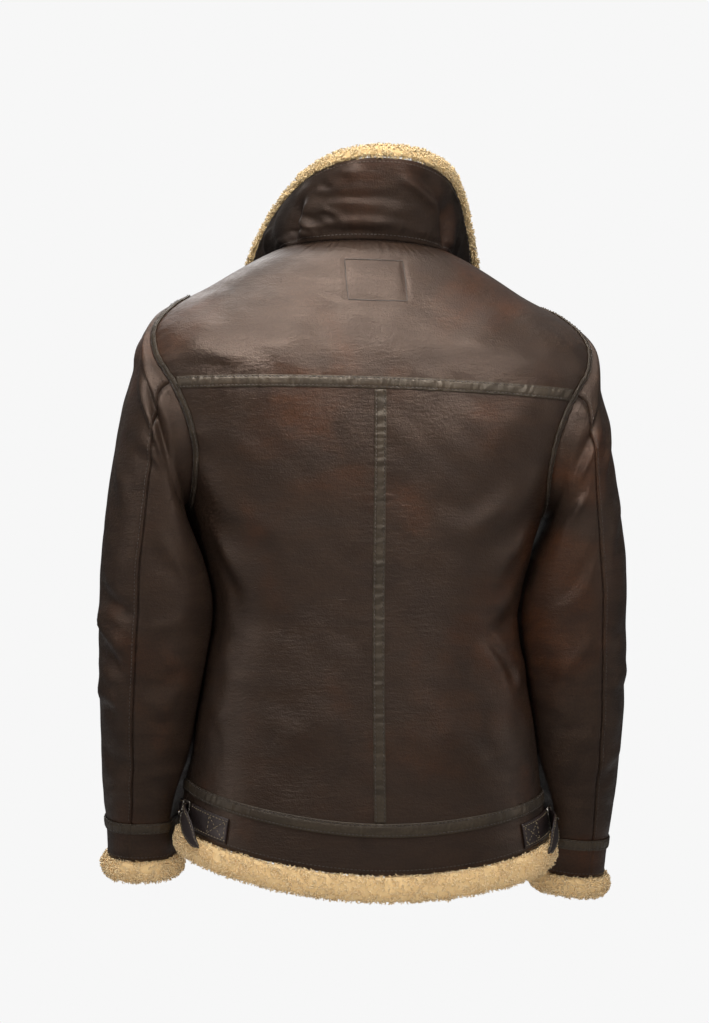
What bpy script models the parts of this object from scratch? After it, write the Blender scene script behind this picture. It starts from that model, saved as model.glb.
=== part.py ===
"""Aviator jacket, worn and hollow, in leather-faced cloth with a fleece back.

Metres, +Z up. The front faces -Y and the jacket's own left is +X. The origin is the
middle of the neck opening at the height of the collar seam behind.

The body is a stack of rings from hem to neck. A place on it is an angle round the
ring (0 at the centre back, 90 at the left side, 180 at the centre front) and a level,
which is the height of the ring's side. Each sleeve is a stack of rings from the
armhole to the cuff, and the collar fans out from the neck ring. Every cut piece is a
wall on one of these three surfaces, and each tape, tab and strap is a strip made from
the same points, moved out.
"""

import math

import bmesh
import bpy
import numpy as np

# Walls and gaps
LEATHER_WALL = 0.003
COLLAR_WALL = 0.002
SEAM_GAP = 0.0003
TAPE_LIFT = 0.0004
TAPE_THICKNESS = 0.0010
TAPE_WIDTH = 0.0125
ARM_TAPE_LIFT = 0.0014
ARM_TAPE_WIDTH = 0.0095
ARM_TAPE_NEAR = 0.0018
STEP = 1e-4

# The wearer's stance drops the right shoulder: height gained for each metre to the left
LEAN = 0.028

# Body rings, hem to neck. level is the height of the side of the ring.
RING_COLUMNS = ("level", "back_z", "front_z", "half_width", "back_y", "front_y", "square")
RINGS = [
    (-0.626, -0.663, -0.632, 0.1965, 0.127, -0.128, 2.40),
    (-0.583, -0.617, -0.590, 0.189, 0.121, -0.125, 2.40),
    (-0.520, -0.538, -0.525, 0.182, 0.113, -0.123, 2.40),
    (-0.455, -0.465, -0.460, 0.172, 0.108, -0.122, 2.45),
    (-0.392, -0.396, -0.395, 0.163, 0.107, -0.123, 2.50),
    (-0.325, -0.326, -0.328, 0.177, 0.111, -0.126, 2.60),
    (-0.280, -0.280, -0.285, 0.190, 0.116, -0.128, 2.75),
    (-0.240, -0.238, -0.250, 0.204, 0.120, -0.129, 2.90),
    (-0.187, -0.184, -0.208, 0.226, 0.123, -0.129, 3.00),
    (-0.160, -0.151, -0.190, 0.237, 0.123, -0.128, 3.00),
    (-0.125, -0.128, -0.170, 0.246, 0.121, -0.125, 2.90),
    (-0.092, -0.106, -0.150, 0.234, 0.117, -0.121, 2.70),
    (-0.070, -0.085, -0.132, 0.206, 0.111, -0.115, 2.50),
    (-0.050, -0.058, -0.114, 0.168, 0.103, -0.108, 2.30),
    (-0.033, -0.031, -0.098, 0.140, 0.094, -0.101, 2.20),
    (-0.018, -0.012, -0.086, 0.114, 0.083, -0.092, 2.10),
    (-0.006, 0.000, -0.075, 0.089, 0.070, -0.078, 2.00),
]
HEM_LEVEL = -0.626
HEM_SEAM_LEVEL = -0.583
YOKE_LEVEL = -0.160
NECK_LEVEL = -0.006

# Armhole: an oval round the side of the body, in angle and level
ARM_TOP = -0.070
ARM_LOW = -0.280
ARM_BACK_DEG = 36.0
ARM_FRONT_DEG = 34.0
ARM_SKEW = 0.15
ARM_STEPS = 5

# Sleeve rings, armhole to cuff edge. Each ring is set by its outer and inner point.
SLEEVE_COLUMNS = ("out_x", "out_z", "in_x", "in_z", "mid_y", "half_y", "bow", "turn")
SLEEVE = [
    (0.206, -0.070, 0.190, -0.280, -0.002, 0.078, 0.016, 0.0),
    (0.224, -0.082, 0.197, -0.288, -0.001, 0.081, 0.014, 0.0),
    (0.2395, -0.117, 0.1930, -0.299, 0.000, 0.082, 0.011, -1.0),
    (0.252, -0.154, 0.187, -0.312, 0.000, 0.081, 0.009, -3.0),
    (0.2620, -0.190, 0.180, -0.328, 0.000, 0.079, 0.006, -6.0),
    (0.270, -0.237, 0.172, -0.347, -0.001, 0.076, 0.004, -10.0),
    (0.2770, -0.288, 0.165, -0.370, -0.002, 0.072, 0.002, -13.0),
    (0.283, -0.340, 0.162, -0.395, -0.004, 0.069, 0.001, -15.0),
    (0.2845, -0.390, 0.163, -0.420, -0.007, 0.066, 0.0, -16.0),
    (0.2845, -0.440, 0.167, -0.453, -0.012, 0.063, 0.0, -16.0),
    (0.284, -0.487, 0.172, -0.490, -0.020, 0.060, 0.0, -16.0),
    (0.2825, -0.527, 0.176, -0.527, -0.030, 0.057, 0.0, -16.0),
    (0.280, -0.567, 0.180, -0.565, -0.042, 0.053, 0.0, -16.0),
    (0.277, -0.603, 0.186, -0.599, -0.053, 0.050, 0.0, -16.0),
    (0.2745, -0.630, 0.193, -0.625, -0.062, 0.048, 0.0, -16.0),
    (0.2725, -0.666, 0.196, -0.661, -0.072, 0.046, 0.0, -16.0),
]
# How far below the table the cuffs hang, left (1) and right (-1)
HANG = {1: -0.002, -1: 0.008}
# Where the sleeve lies against the body it keeps this much room, more below the hem seam
SLEEVE_CLEAR = 0.0020
HEM_CLEAR = 0.0135
PRESS_SOFTNESS = 0.0020
HEM_NEAR = -0.530
HEM_NEAR_DEPTH = 0.070
CUFF_SEAM_ROW = 14
CUFF_EDGE_ROW = 15
SLEEVE_SQUARE = 2.2
CUFF_BACK_DROP = 0.006

# Collar: the leather edge, by angle round the neck, and how far the cloth bows
COLLAR_COLUMNS = ("angle", "x", "y", "z", "bow")
COLLAR = [
    (0.0, 0.000, 0.091, 0.0850, 0.005),
    (20.0, 0.038, 0.084, 0.0815, 0.005),
    (40.0, 0.070, 0.055, 0.070, 0.005),
    (60.0, 0.091, 0.004, 0.052, 0.004),
    (80.0, 0.106, -0.048, 0.030, 0.003),
    (100.0, 0.117, -0.086, 0.004, 0.001),
    (120.0, 0.123, -0.114, -0.026, 0.0),
    (140.0, 0.118, -0.134, -0.056, 0.0),
    (158.0, 0.100, -0.146, -0.078, 0.0),
]
COLLAR_FRONT_STEPS = 6
COLLAR_SHIFT = -0.010

# Fleece rolls: section outlines as (outwards, along the edge's own direction)
HEM_ROLL = [(0.003, 0.0006), (0.0060, 0.008), (0.0060, 0.018), (0.002, 0.026),
            (-0.004, 0.028), (-0.010, 0.024), (-0.013, 0.015), (-0.012, 0.006),
            (-0.008, 0.0006)]
CUFF_ROLL = [(0.003, 0.0006), (0.007, 0.007), (0.007, 0.016), (0.002, 0.024),
             (-0.004, 0.025), (-0.009, 0.021), (-0.011, 0.013), (-0.008, 0.0006)]
COLLAR_PILE = 0.009
COLLAR_ROLL = [(-0.0115, 0.006), (-0.009, 0.0125), (-0.003, 0.0150), (0.0025, 0.0125),
               (0.0045, 0.006), (0.0025, 0.0014), (-0.0029, 0.0012)]

# Side adjusters, set out from the side seam towards the back along the hem band
ADJUSTER_LEVEL = -0.6085
BAND_RADIUS = 0.150
TAB_HALF = 0.0125
STRAP_HALF = 0.0095
STRAP_THICKNESS = 0.0016
BUCKLE_HALF_LENGTH = 0.0075
BUCKLE_HALF_HEIGHT = 0.0125
WIRE_RADIUS = 0.0012
BUCKLE_AT = 0.033
BUCKLE_LIFT = 0.0052
PATH_COLUMNS = ("along", "lift", "drop")
TAB_PATH = [(0.106, 0.0006, 0.0), (0.084, 0.0006, 0.0), (0.065, 0.0006, 0.0),
            (0.050, 0.0008, 0.0), (0.0445, 0.0012, 0.0)]
STRAP_PATH = [(-0.028, 0.0006, 0.0), (-0.012, 0.0006, 0.0), (0.004, 0.0008, 0.0),
              (0.017, 0.0012, 0.0), (0.0255, 0.0016, 0.0), (0.033, 0.0050, 0.0),
              (0.0405, 0.0088, 0.0005), (0.050, 0.0115, 0.003), (0.061, 0.0120, 0.010),
              (0.072, 0.0115, 0.019), (0.081, 0.0105, 0.027)]
STRAP_TAPER = [1.0, 1.0, 1.0, 1.0, 1.0, 1.0, 1.0, 1.0, 1.08, 0.85, 0.15]

# Front zip
ZIP_OPENING_HALF = 0.0045
ZIP_TAPE_HALF = 0.013
ZIP_TAPE_THICKNESS = 0.0008
CHAIN_HALF = 0.0030
CHAIN_THICKNESS = 0.0022
SLIDER_LEVEL = -0.040
SLIDER_HALF = 0.00425
SLIDER_DEPTH = 0.0045
SLIDER_HALF_HEIGHT = 0.0065
LUG_INSIDE = 0.0028
LUG_HALF_HEIGHT = 0.0016
PIVOT_RISE = 0.0025
PULL_GAP = 0.0006
EYE_RADIUS = 0.0013
EYE_HALF_WIDTH = 0.0024
EYE_SIDES = 18
PULL_HALF_THICKNESS = 0.0008
PULL_COLUMNS = ("drop", "half_width")
PULL = [(0.0028, 0.0024), (0.0050, 0.0034), (0.0240, 0.0038), (0.0268, 0.0032),
        (0.0280, 0.0020)]

COLOURS = {
    "leather": ((0.070, 0.044, 0.033, 1.0), 0.45, 0.0),
    "tape": ((0.052, 0.040, 0.033, 1.0), 0.35, 0.0),
    "fleece": ((0.72, 0.55, 0.33, 1.0), 0.95, 0.0),
    "metal": ((0.23, 0.19, 0.14, 1.0), 0.35, 1.0),
    "zip_cloth": ((0.030, 0.022, 0.018, 1.0), 0.85, 0.0),
}


def clear_scene():
    """Start from an empty scene."""
    for thing in list(bpy.data.objects):
        bpy.data.objects.remove(thing, do_unlink=True)


def make_material(name):
    """A Principled material from the table of colours."""
    colour, roughness, metallic = COLOURS[name]
    material = bpy.data.materials.new(name)
    material.use_nodes = True
    shader = material.node_tree.nodes["Principled BSDF"]
    shader.inputs["Base Color"].default_value = colour
    shader.inputs["Roughness"].default_value = roughness
    shader.inputs["Metallic"].default_value = metallic
    material.diffuse_color = colour
    return material


def column(table, names, name):
    """One named column of a table."""
    return np.array([row[names.index(name)] for row in table])


def smooth_curve(knots, values, at):
    """Cubic curve through the values, with slopes taken from the neighbours."""
    slopes = np.gradient(values, knots)
    at = np.clip(at, knots[0], knots[-1])
    i = np.clip(np.searchsorted(knots, at) - 1, 0, len(knots) - 2)
    span = knots[i + 1] - knots[i]
    t = (at - knots[i]) / span
    rise = values[i] * (2 * t**3 - 3 * t**2 + 1) + values[i + 1] * (3 * t**2 - 2 * t**3)
    bend = slopes[i] * (t**3 - 2 * t**2 + t) + slopes[i + 1] * (t**3 - t**2)
    return rise + span * bend


def unit(vectors):
    """Vectors scaled to length one."""
    return vectors / np.linalg.norm(vectors, axis=-1, keepdims=True)


def ease(x):
    """Smooth step from 0 to 1."""
    x = np.clip(x, 0.0, 1.0)
    return x * x * (3 - 2 * x)


# The body surface

RING_LEVELS = column(RINGS, RING_COLUMNS, "level")


def ring_value(name, level):
    return smooth_curve(RING_LEVELS, column(RINGS, RING_COLUMNS, name), level)


def body(angle, level):
    """Point of the body at an angle in degrees and a level."""
    angle, level = np.broadcast_arrays(np.asarray(angle, float), np.asarray(level, float))
    sine, cosine = np.sin(np.radians(angle)), np.cos(np.radians(angle))
    power = ring_value("square", level)
    reach = (np.abs(sine) ** power + np.abs(cosine) ** power) ** (-1 / power)
    behind = cosine > 0
    depth = np.where(behind, ring_value("back_y", level), -ring_value("front_y", level))
    centre_z = np.where(behind, ring_value("back_z", level), ring_value("front_z", level))
    x = ring_value("half_width", level) * reach * sine
    y = depth * reach * cosine
    z = level + (centre_z - level) * cosine**2
    return np.stack([x, y, z], axis=-1)


def body_normal(angle, level):
    """Outward direction of the body surface."""
    up = body(angle, level + STEP) - body(angle, level - STEP)
    round_ = body(angle + 0.05, level) - body(angle - 0.05, level)
    return unit(np.cross(up, round_))


def lifted(angle, level, lift):
    """Body point moved outwards by a lift."""
    lift = np.asarray(lift, float)[..., None]
    return body(angle, level) + body_normal(angle, level) * lift


# The armhole and the sleeve surface

def arm_turns():
    """Angles round the armhole, 0 at the top, with one at the yoke seam."""
    middle, radius = (ARM_TOP + ARM_LOW) / 2, (ARM_TOP - ARM_LOW) / 2
    yoke = math.degrees(math.acos((YOKE_LEVEL - middle) / radius))
    upper = np.linspace(0, yoke, ARM_STEPS + 1)
    lower = np.linspace(yoke, 180, ARM_STEPS + 1)[1:]
    return np.concatenate([upper, lower])


def arm_place(turn, grow=0.0):
    """Angle and level on the body of a place on the armhole, 0 top and 90 behind."""
    turn = np.asarray(turn, float)
    sine, cosine = np.sin(np.radians(turn)), np.cos(np.radians(turn))
    middle, radius = (ARM_TOP + ARM_LOW) / 2, (ARM_TOP - ARM_LOW) / 2 + grow
    level = middle + radius * cosine
    width = np.where(sine > 0, ARM_BACK_DEG, ARM_FRONT_DEG) + math.degrees(grow / 0.2)
    return 90 - width * sine * (1 - ARM_SKEW * cosine), level


SLEEVE_ROWS = np.arange(len(SLEEVE), dtype=float)


def sleeve_value(name, row):
    return smooth_curve(SLEEVE_ROWS, column(SLEEVE, SLEEVE_COLUMNS, name), row)


def sleeve_ring(turn, row, side):
    """Plain ring of the sleeve before it is led into the armhole."""
    turn = np.radians(turn + sleeve_value("turn", row))
    sine, cosine = np.sin(turn), np.cos(turn)
    reach = (np.abs(sine)**SLEEVE_SQUARE + np.abs(cosine)**SLEEVE_SQUARE) ** (-1 / SLEEVE_SQUARE)
    across = reach * cosine / 2
    out_x, in_x = sleeve_value("out_x", row), sleeve_value("in_x", row)
    out_z, in_z = sleeve_value("out_z", row), sleeve_value("in_z", row)
    drop = CUFF_BACK_DROP * ease((row - 8) / 6)
    x = (out_x + in_x) / 2 + across * (out_x - in_x) + sleeve_value("bow", row) * sine**2
    y = sleeve_value("mid_y", row) + reach * sine * sleeve_value("half_y", row)
    z = (out_z + in_z) / 2 + across * (out_z - in_z) - drop * sine
    z = z - HANG[side] * ease((row - 5) / 10)
    return np.stack([x, y, z], axis=-1)


def beside_body(points):
    """Width of the body's side at the depth and height of each point."""
    level = np.clip(points[..., 2], HEM_LEVEL, ARM_TOP)
    power = ring_value("square", level)
    depth = np.where(points[..., 1] > 0, ring_value("back_y", level),
                     -ring_value("front_y", level))
    inside = np.clip(1 - (np.abs(points[..., 1]) / depth) ** power, 0, 1)
    return ring_value("half_width", level) * inside ** (1 / power)


def sleeve(turn, row, side):
    """Point of a sleeve, drawn on the left, whose first ring is the armhole."""
    turn, row = np.broadcast_arrays(np.asarray(turn, float), np.asarray(row, float))
    miss = body(*arm_place(turn)) - sleeve_ring(turn, np.zeros_like(row), side)
    points = sleeve_ring(turn, row, side) + miss * (1 - ease(row / 3))[..., None]
    low = ease((HEM_NEAR - points[..., 2]) / HEM_NEAR_DEPTH)
    clear = SLEEVE_CLEAR + (HEM_CLEAR - SLEEVE_CLEAR) * low
    press = (beside_body(points) + clear - points[..., 0]) / PRESS_SOFTNESS
    push = PRESS_SOFTNESS * np.logaddexp(0, np.clip(press, -30, 30)) * ease((row - 1) / 1.5)
    return points + push[..., None] * np.array([1.0, 0.0, 0.0])


def sleeve_normal(turn, row, side):
    """Outward direction of the sleeve, led into the body's own at the armhole."""
    down = sleeve(turn, row + 0.01, side) - sleeve(turn, np.maximum(row - 0.01, 0), side)
    round_ = sleeve(turn + 0.1, row, side) - sleeve(turn - 0.1, row, side)
    own = unit(np.cross(down, round_))
    share = ease(row / 0.5)[..., None]
    return unit(own * share + body_normal(*arm_place(turn)) * (1 - share) + own * 1e-6)


# The collar surface

COLLAR_ANGLES = column(COLLAR, COLLAR_COLUMNS, "angle")


def collar_value(name, angle):
    """A collar column, mirrored for the right side."""
    both = np.concatenate([-COLLAR_ANGLES[:0:-1], COLLAR_ANGLES])
    values = column(COLLAR, COLLAR_COLUMNS, name)
    sign = -1.0 if name == "x" else 1.0
    return smooth_curve(both, np.concatenate([sign * values[:0:-1], values]), angle)


def collar(angle, rise):
    """Point of the collar's leather side: rise is 0 at the neck seam, 1 at the edge."""
    angle, rise = np.broadcast_arrays(np.asarray(angle, float), np.asarray(rise, float))
    neck = body(angle, np.full_like(angle, NECK_LEVEL))
    edge = np.stack([collar_value(name, angle) for name in "xyz"], axis=-1)
    hump = (4 * rise * (1 - rise))[..., None]
    out = np.stack([np.sin(np.radians(angle)), np.cos(np.radians(angle)), 0 * angle], axis=-1)
    bow = out * collar_value("bow", angle)[..., None]
    shift = rise[..., None] ** 2 * np.array([COLLAR_SHIFT, 0.0, 0.0])
    return neck + (edge - neck) * rise[..., None] + bow * hump + shift


def collar_frame(angle, rise):
    """The collar's outward (leather side) direction and the direction to its edge."""
    along = unit(collar(angle, rise + 0.005) - collar(angle, rise - 0.005))
    round_ = collar(angle + 0.2, rise) - collar(angle - 0.2, rise)
    return unit(np.cross(along, round_)), along


def collar_normal(angle, rise):
    """Outward direction of the collar, led into the body's own at the neck seam."""
    own = collar_frame(angle, rise)[0]
    share = ease(rise / 0.12)[..., None]
    return unit(own * share + body_normal(angle, np.full_like(rise, NECK_LEVEL)) * (1 - share))


# Solids

def place(points, side):
    """Mirror to the left (1) or right (-1) and add the lean of the stance."""
    points = points * np.array([side, 1.0, 1.0])
    return points + np.stack([0 * points[..., 0], 0 * points[..., 0], LEAN * points[..., 0]],
                             axis=-1)


def finish_mesh(name, mesh, material):
    """Point the faces outwards and add the mesh to the scene as one object."""
    work = bmesh.new()
    work.from_mesh(mesh)
    bmesh.ops.recalc_face_normals(work, faces=work.faces)
    work.to_mesh(mesh)
    work.free()
    mesh.shade_smooth()
    mesh.set_sharp_from_angle(angle=math.radians(40))
    mesh.materials.append(material)
    thing = bpy.data.objects.new(name, mesh)
    bpy.context.collection.objects.link(thing)
    return thing


def section_solid(name, sections, material, side=1, ring=False):
    """Closed solid from sections, each the same closed loop of points.

    sections is an array (sections, points, 3). ring joins the last to the first,
    and otherwise each end is capped. Every four-sided place is split the same way, so
    that two pieces that follow each other keep their gap.
    """
    count, size = sections.shape[:2]
    points = place(sections, side).reshape(-1, 3)
    faces = []
    for i in range(count if ring else count - 1):
        here, following = i * size, (i + 1) % count * size
        for j in range(size):
            k = (j + 1) % size
            faces.append((here + j, here + k, following + k))
            faces.append((here + j, following + k, following + j))
    if not ring:
        faces += cap_faces(size, 0) + cap_faces(size, (count - 1) * size)
    mesh = bpy.data.meshes.new(name)
    mesh.from_pydata(points.tolist(), [], faces)
    return finish_mesh(name, mesh, material)


def cap_faces(size, start):
    """Close a loop of points with quads from one side of it to the other."""
    faces = []
    low, high = 0, size - 1
    while high - low > 2:
        faces.append((start + low, start + low + 1, start + high - 1, start + high))
        low, high = low + 1, high - 1
    if high - low == 2:
        faces.append((start + low, start + low + 1, start + high))
    return faces


def wall(name, outer, inner, material, side=1, ring=False):
    """Wall between two grids (rows, columns, 3). ring closes the columns."""
    columns_first = np.swapaxes(outer, 0, 1), np.swapaxes(inner, 0, 1)
    sections = np.concatenate([columns_first[0], columns_first[1][:, ::-1]], axis=1)
    return section_solid(name, sections, material, side, ring)


def body_wall(name, angles, levels, material, side=1):
    """Cut piece on the body from grids of angle and level."""
    outer = body(angles, levels)
    inner = outer - body_normal(angles, levels) * LEATHER_WALL
    return wall(name, outer, inner, material, side)


def body_strip(name, angles, levels, lift, thickness, material, side=1):
    """Strip that lies on the body, or inside it where the lift is negative."""
    low = lifted(angles, levels, np.full(np.shape(angles), lift))
    high = lifted(angles, levels, np.full(np.shape(angles), lift + thickness))
    return wall(name, high, low, material, side)


# Rows and columns shared by neighbouring pieces, so that seams match

def back_edge(level):
    """Outer angle of a back piece: the side seam, or the armhole."""
    return edge_angle(level, 1)


def front_edge(level):
    """Outer angle of a front piece."""
    return edge_angle(level, -1)


def edge_angle(level, way):
    middle, radius = (ARM_TOP + ARM_LOW) / 2, (ARM_TOP - ARM_LOW) / 2 + 2 * SEAM_GAP
    inside = np.clip((level - middle) / radius, -1, 1)
    turn = way * np.degrees(np.arccos(inside))
    seam = way * math.degrees(SEAM_GAP / 2 / 0.2)
    return arm_place(turn, 2 * SEAM_GAP)[0] - seam


def arm_levels():
    """Levels of the armhole's points, from the top down."""
    return arm_place(arm_turns(), 2 * SEAM_GAP)[1]


def narrow(level, width):
    """Angle of a place a short way from the centre line."""
    return np.degrees(np.arcsin(width / ring_value("half_width", level)))


BACK_COLUMNS = 7
FRONT_COLUMNS = 8


def back_grid(levels):
    """Angles and levels of the left half of the back."""
    levels = np.asarray(levels)
    first = narrow(levels, SEAM_GAP / 2)
    second = narrow(levels, TAPE_WIDTH / 2 + 0.001)
    share = np.linspace(0, 1, BACK_COLUMNS + 1)
    rest = second[:, None] + (back_edge(levels) - second)[:, None] * share
    angles = np.concatenate([first[:, None], rest], axis=1)
    return angles, np.broadcast_to(levels[:, None], angles.shape)


def whole_back_grid(levels):
    """Angles and levels across the whole back, right side to left side."""
    angles, grid_levels = back_grid(levels)
    angles = np.concatenate([-angles[:, :0:-1], angles[:, 1:]], axis=1)
    return angles, np.concatenate([grid_levels[:, :0:-1], grid_levels[:, 1:]], axis=1)


def front_grid(levels):
    """Angles and levels of the left front, side to zip."""
    levels = np.asarray(levels)
    inner = 180 - narrow(levels, ZIP_OPENING_HALF)
    outer = front_edge(levels)
    share = np.linspace(0, 1, FRONT_COLUMNS + 1)
    angles = outer[:, None] + (inner - outer)[:, None] * share
    return angles, np.broadcast_to(levels[:, None], angles.shape)


LOWER_LEVELS = [-0.548, -0.500, -0.455, -0.423, -0.392, -0.358, -0.325, -0.302]
SHOULDER_LEVELS = [-0.056, -0.042, -0.029, -0.017]


def build_body(materials):
    """Back panels, yoke, fronts and hem bands."""
    leather = materials["leather"]
    half_tape = TAPE_WIDTH / 2 + 0.001
    hem_top = HEM_SEAM_LEVEL + SEAM_GAP / 2
    rows_low = [hem_top, HEM_SEAM_LEVEL + half_tape] + LOWER_LEVELS
    arms = arm_levels()
    below_yoke = list(arms[:ARM_STEPS:-1]) + [YOKE_LEVEL - SEAM_GAP / 2]
    above_yoke = [YOKE_LEVEL + SEAM_GAP / 2] + list(arms[ARM_STEPS - 1::-1])
    for side, word in ((1, "left"), (-1, "right")):
        body_wall(f"back_{word}", *back_grid(rows_low + below_yoke), leather, side)
    body_wall("yoke", *whole_back_grid(above_yoke + SHOULDER_LEVELS + [NECK_LEVEL]), leather)
    front_levels = rows_low + below_yoke[:-1] + [YOKE_LEVEL] + above_yoke[1:]
    front_levels = front_levels + SHOULDER_LEVELS + [NECK_LEVEL]
    hem_levels = [HEM_LEVEL, -0.606, HEM_SEAM_LEVEL - half_tape, HEM_SEAM_LEVEL - SEAM_GAP / 2]
    body_wall("hem_band_back", *whole_back_grid(hem_levels), leather)
    for side, word in ((1, "left"), (-1, "right")):
        body_wall(f"front_{word}", *front_grid(front_levels), leather, side)
        body_wall(f"hem_band_{word}", *front_grid(hem_levels), leather, side)


def hem_angles():
    """Angles all round the hem from the right edge of the zip to the left."""
    levels = np.array([HEM_SEAM_LEVEL])
    behind = whole_back_grid(levels)[0][0]
    left = front_grid(levels)[0][0][1:]
    return np.concatenate([-left[::-1], behind, left])


def build_tapes(materials):
    """Strips over the yoke, centre-back and hem seams."""
    tape = materials["tape"]
    half = TAPE_WIDTH / 2
    for name, level, angles in (
        ("yoke_tape", YOKE_LEVEL, whole_back_grid(np.array([YOKE_LEVEL]))[0][0]),
        ("hem_tape", HEM_SEAM_LEVEL, hem_angles()),
    ):
        if name == "yoke_tape":
            end = arm_place(arm_turns()[ARM_STEPS], ARM_TAPE_WIDTH + 0.003)[0]
            angles = np.clip(angles, -end, end)
        levels = np.array([level - half, level, level + half])[:, None]
        grid = np.broadcast_to(angles, (3, len(angles)))
        body_strip(name, grid, np.broadcast_to(levels, grid.shape), TAPE_LIFT,
                   TAPE_THICKNESS, tape)
    low, high = HEM_SEAM_LEVEL + half + 0.0006, YOKE_LEVEL - half - 0.0006
    levels = np.array([low] + LOWER_LEVELS + list(arm_levels()[:ARM_STEPS:-1]) + [high])
    edge = narrow(levels, half)[:, None]
    angles = np.concatenate([-edge, edge], axis=1)
    grid_levels = np.broadcast_to(levels[:, None], angles.shape)
    body_strip("centre_back_tape", angles, grid_levels, TAPE_LIFT, TAPE_THICKNESS, tape)


def whole_turns():
    """Angles round the whole sleeve, starting at the back seam, over the top."""
    half = arm_turns()
    return np.concatenate([half, 360 - half[-2:0:-1]])


def build_sleeve(materials, side, word):
    """Top and under pieces, cuff band, cuff tape, cuff fleece and armhole tape."""
    leather, tape, fleece = materials["leather"], materials["tape"], materials["fleece"]
    half = arm_turns()
    gap = 0.12
    top = np.concatenate([-half[ARM_STEPS:0:-1], half[:ARM_STEPS + 1]])
    under = np.concatenate([half[ARM_STEPS:], 360 - half[-2:ARM_STEPS - 1:-1]])
    top[0], top[-1] = top[0] + gap, top[-1] - gap
    under[0], under[-1] = under[0] + gap, under[-1] - gap
    tape_rows = CUFF_SEAM_ROW + np.array([-0.2, 0.0, 0.16])
    rows = np.array([0.02, 0.5, 1, 1.6, 2.3, 3, 4, 5, 6, 7, 8, 9, 10, 11, 12, 13,
                     tape_rows[0], CUFF_SEAM_ROW - 0.005])
    for name, turns in (("sleeve_top", top), ("sleeve_under", under)):
        sleeve_wall(f"{name}_{word}", turns, rows, leather, side)
    turns = whole_turns()
    cuff_rows = np.array([CUFF_SEAM_ROW + 0.005, tape_rows[2], CUFF_SEAM_ROW + 0.55,
                          CUFF_EDGE_ROW])
    sleeve_wall(f"cuff_band_{word}", turns, cuff_rows, leather, side, ring=True)
    grid_turns, grid_rows = np.meshgrid(turns, tape_rows)
    base = sleeve(grid_turns, grid_rows, side)
    normal = sleeve_normal(grid_turns, grid_rows, side)
    wall(f"cuff_tape_{word}", base + normal * (TAPE_LIFT + TAPE_THICKNESS),
         base + normal * TAPE_LIFT, tape, side, ring=True)
    build_cuff_fleece(f"cuff_fleece_{word}", turns, fleece, side)
    build_armhole_tape(f"armhole_tape_{word}", tape, side)


def sleeve_wall(name, turns, rows, material, side, ring=False):
    """Cut piece on a sleeve."""
    grid_turns, grid_rows = np.meshgrid(turns, rows)
    outer = sleeve(grid_turns, grid_rows, side)
    inner = outer - sleeve_normal(grid_turns, grid_rows, side) * LEATHER_WALL
    return wall(name, outer, inner, material, side, ring)


def build_cuff_fleece(name, turns, material, side):
    """Roll of fleece below the cuff band."""
    row = np.full(len(turns), float(CUFF_EDGE_ROW))
    edge, out = sleeve(turns, row, side), sleeve_normal(turns, row, side)
    down = unit(edge - sleeve(turns, row - 0.1, side))
    sections = np.stack([edge + out * across + down * along for across, along in CUFF_ROLL],
                        axis=1)
    section_solid(name, sections, material, side, ring=True)


def build_armhole_tape(name, material, side):
    """Strip on the body side of the armhole seam, all the way round."""
    turns = whole_turns()
    near = arm_place(turns, ARM_TAPE_NEAR)
    far = arm_place(turns, ARM_TAPE_WIDTH)
    low = np.stack([lifted(*near, np.full(len(turns), ARM_TAPE_LIFT)),
                    lifted(*far, np.full(len(turns), ARM_TAPE_LIFT))])
    lift = ARM_TAPE_LIFT + TAPE_THICKNESS
    high = np.stack([lifted(*near, np.full(len(turns), lift)),
                     lifted(*far, np.full(len(turns), lift))])
    wall(name, high, low, material, side, ring=True)


def build_hem_fleece(material):
    """Roll of fleece below the hem band, open at the zip."""
    angles = hem_angles()
    level = np.full(len(angles), HEM_LEVEL)
    edge, out = body(angles, level), body_normal(angles, level)
    down = unit(body(angles, level) - body(angles, level + 0.004))
    sections = np.stack([edge + out * across + down * along for across, along in HEM_ROLL],
                        axis=1)
    section_solid("hem_fleece", sections, material)


def collar_columns():
    """Angles of the collar's columns: those of the neck seam, open at the front."""
    level = np.array([NECK_LEVEL])
    left = front_grid(level)[0][0][1:COLLAR_FRONT_STEPS + 1]
    return np.concatenate([-left[::-1], whole_back_grid(level)[0][0], left])


def build_collar(materials):
    """Leather side of the collar, and the fleece inside it with its rolled edge."""
    angles = collar_columns()
    rises = np.array([0.008, 0.12, 0.3, 0.5, 0.75, 1.0])
    grid_angles, grid_rises = np.meshgrid(angles, rises)
    outer = collar(grid_angles, grid_rises)
    normal = collar_normal(grid_angles, grid_rises)
    wall("collar", outer, outer - normal * COLLAR_WALL, materials["leather"])
    pile_rises = np.array([0.12, 0.3, 0.5, 0.75, 1.0])
    grid_angles, grid_rises = np.meshgrid(angles, pile_rises)
    skin, normal = collar(grid_angles, grid_rises), collar_normal(grid_angles, grid_rises)
    near = skin - normal * (COLLAR_WALL + 3 * SEAM_GAP)
    far = skin - normal * (COLLAR_WALL + COLLAR_PILE)
    edge = collar(angles, np.ones(len(angles)))
    out, along = collar_frame(angles, np.ones(len(angles)))
    roll = np.stack([edge + out * across + along * ahead for across, ahead in COLLAR_ROLL])
    sections = np.swapaxes(np.concatenate([far, roll, near[::-1]]), 0, 1)
    section_solid("collar_fleece", sections, materials["fleece"])


# Side adjusters

def band_point(along, lift, drop):
    """Point over the hem band: along from the side seam towards the back."""
    angle = 90 - np.degrees(np.asarray(along, float) / BAND_RADIUS)
    return lifted(angle, ADJUSTER_LEVEL - np.asarray(drop, float), lift)


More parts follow.
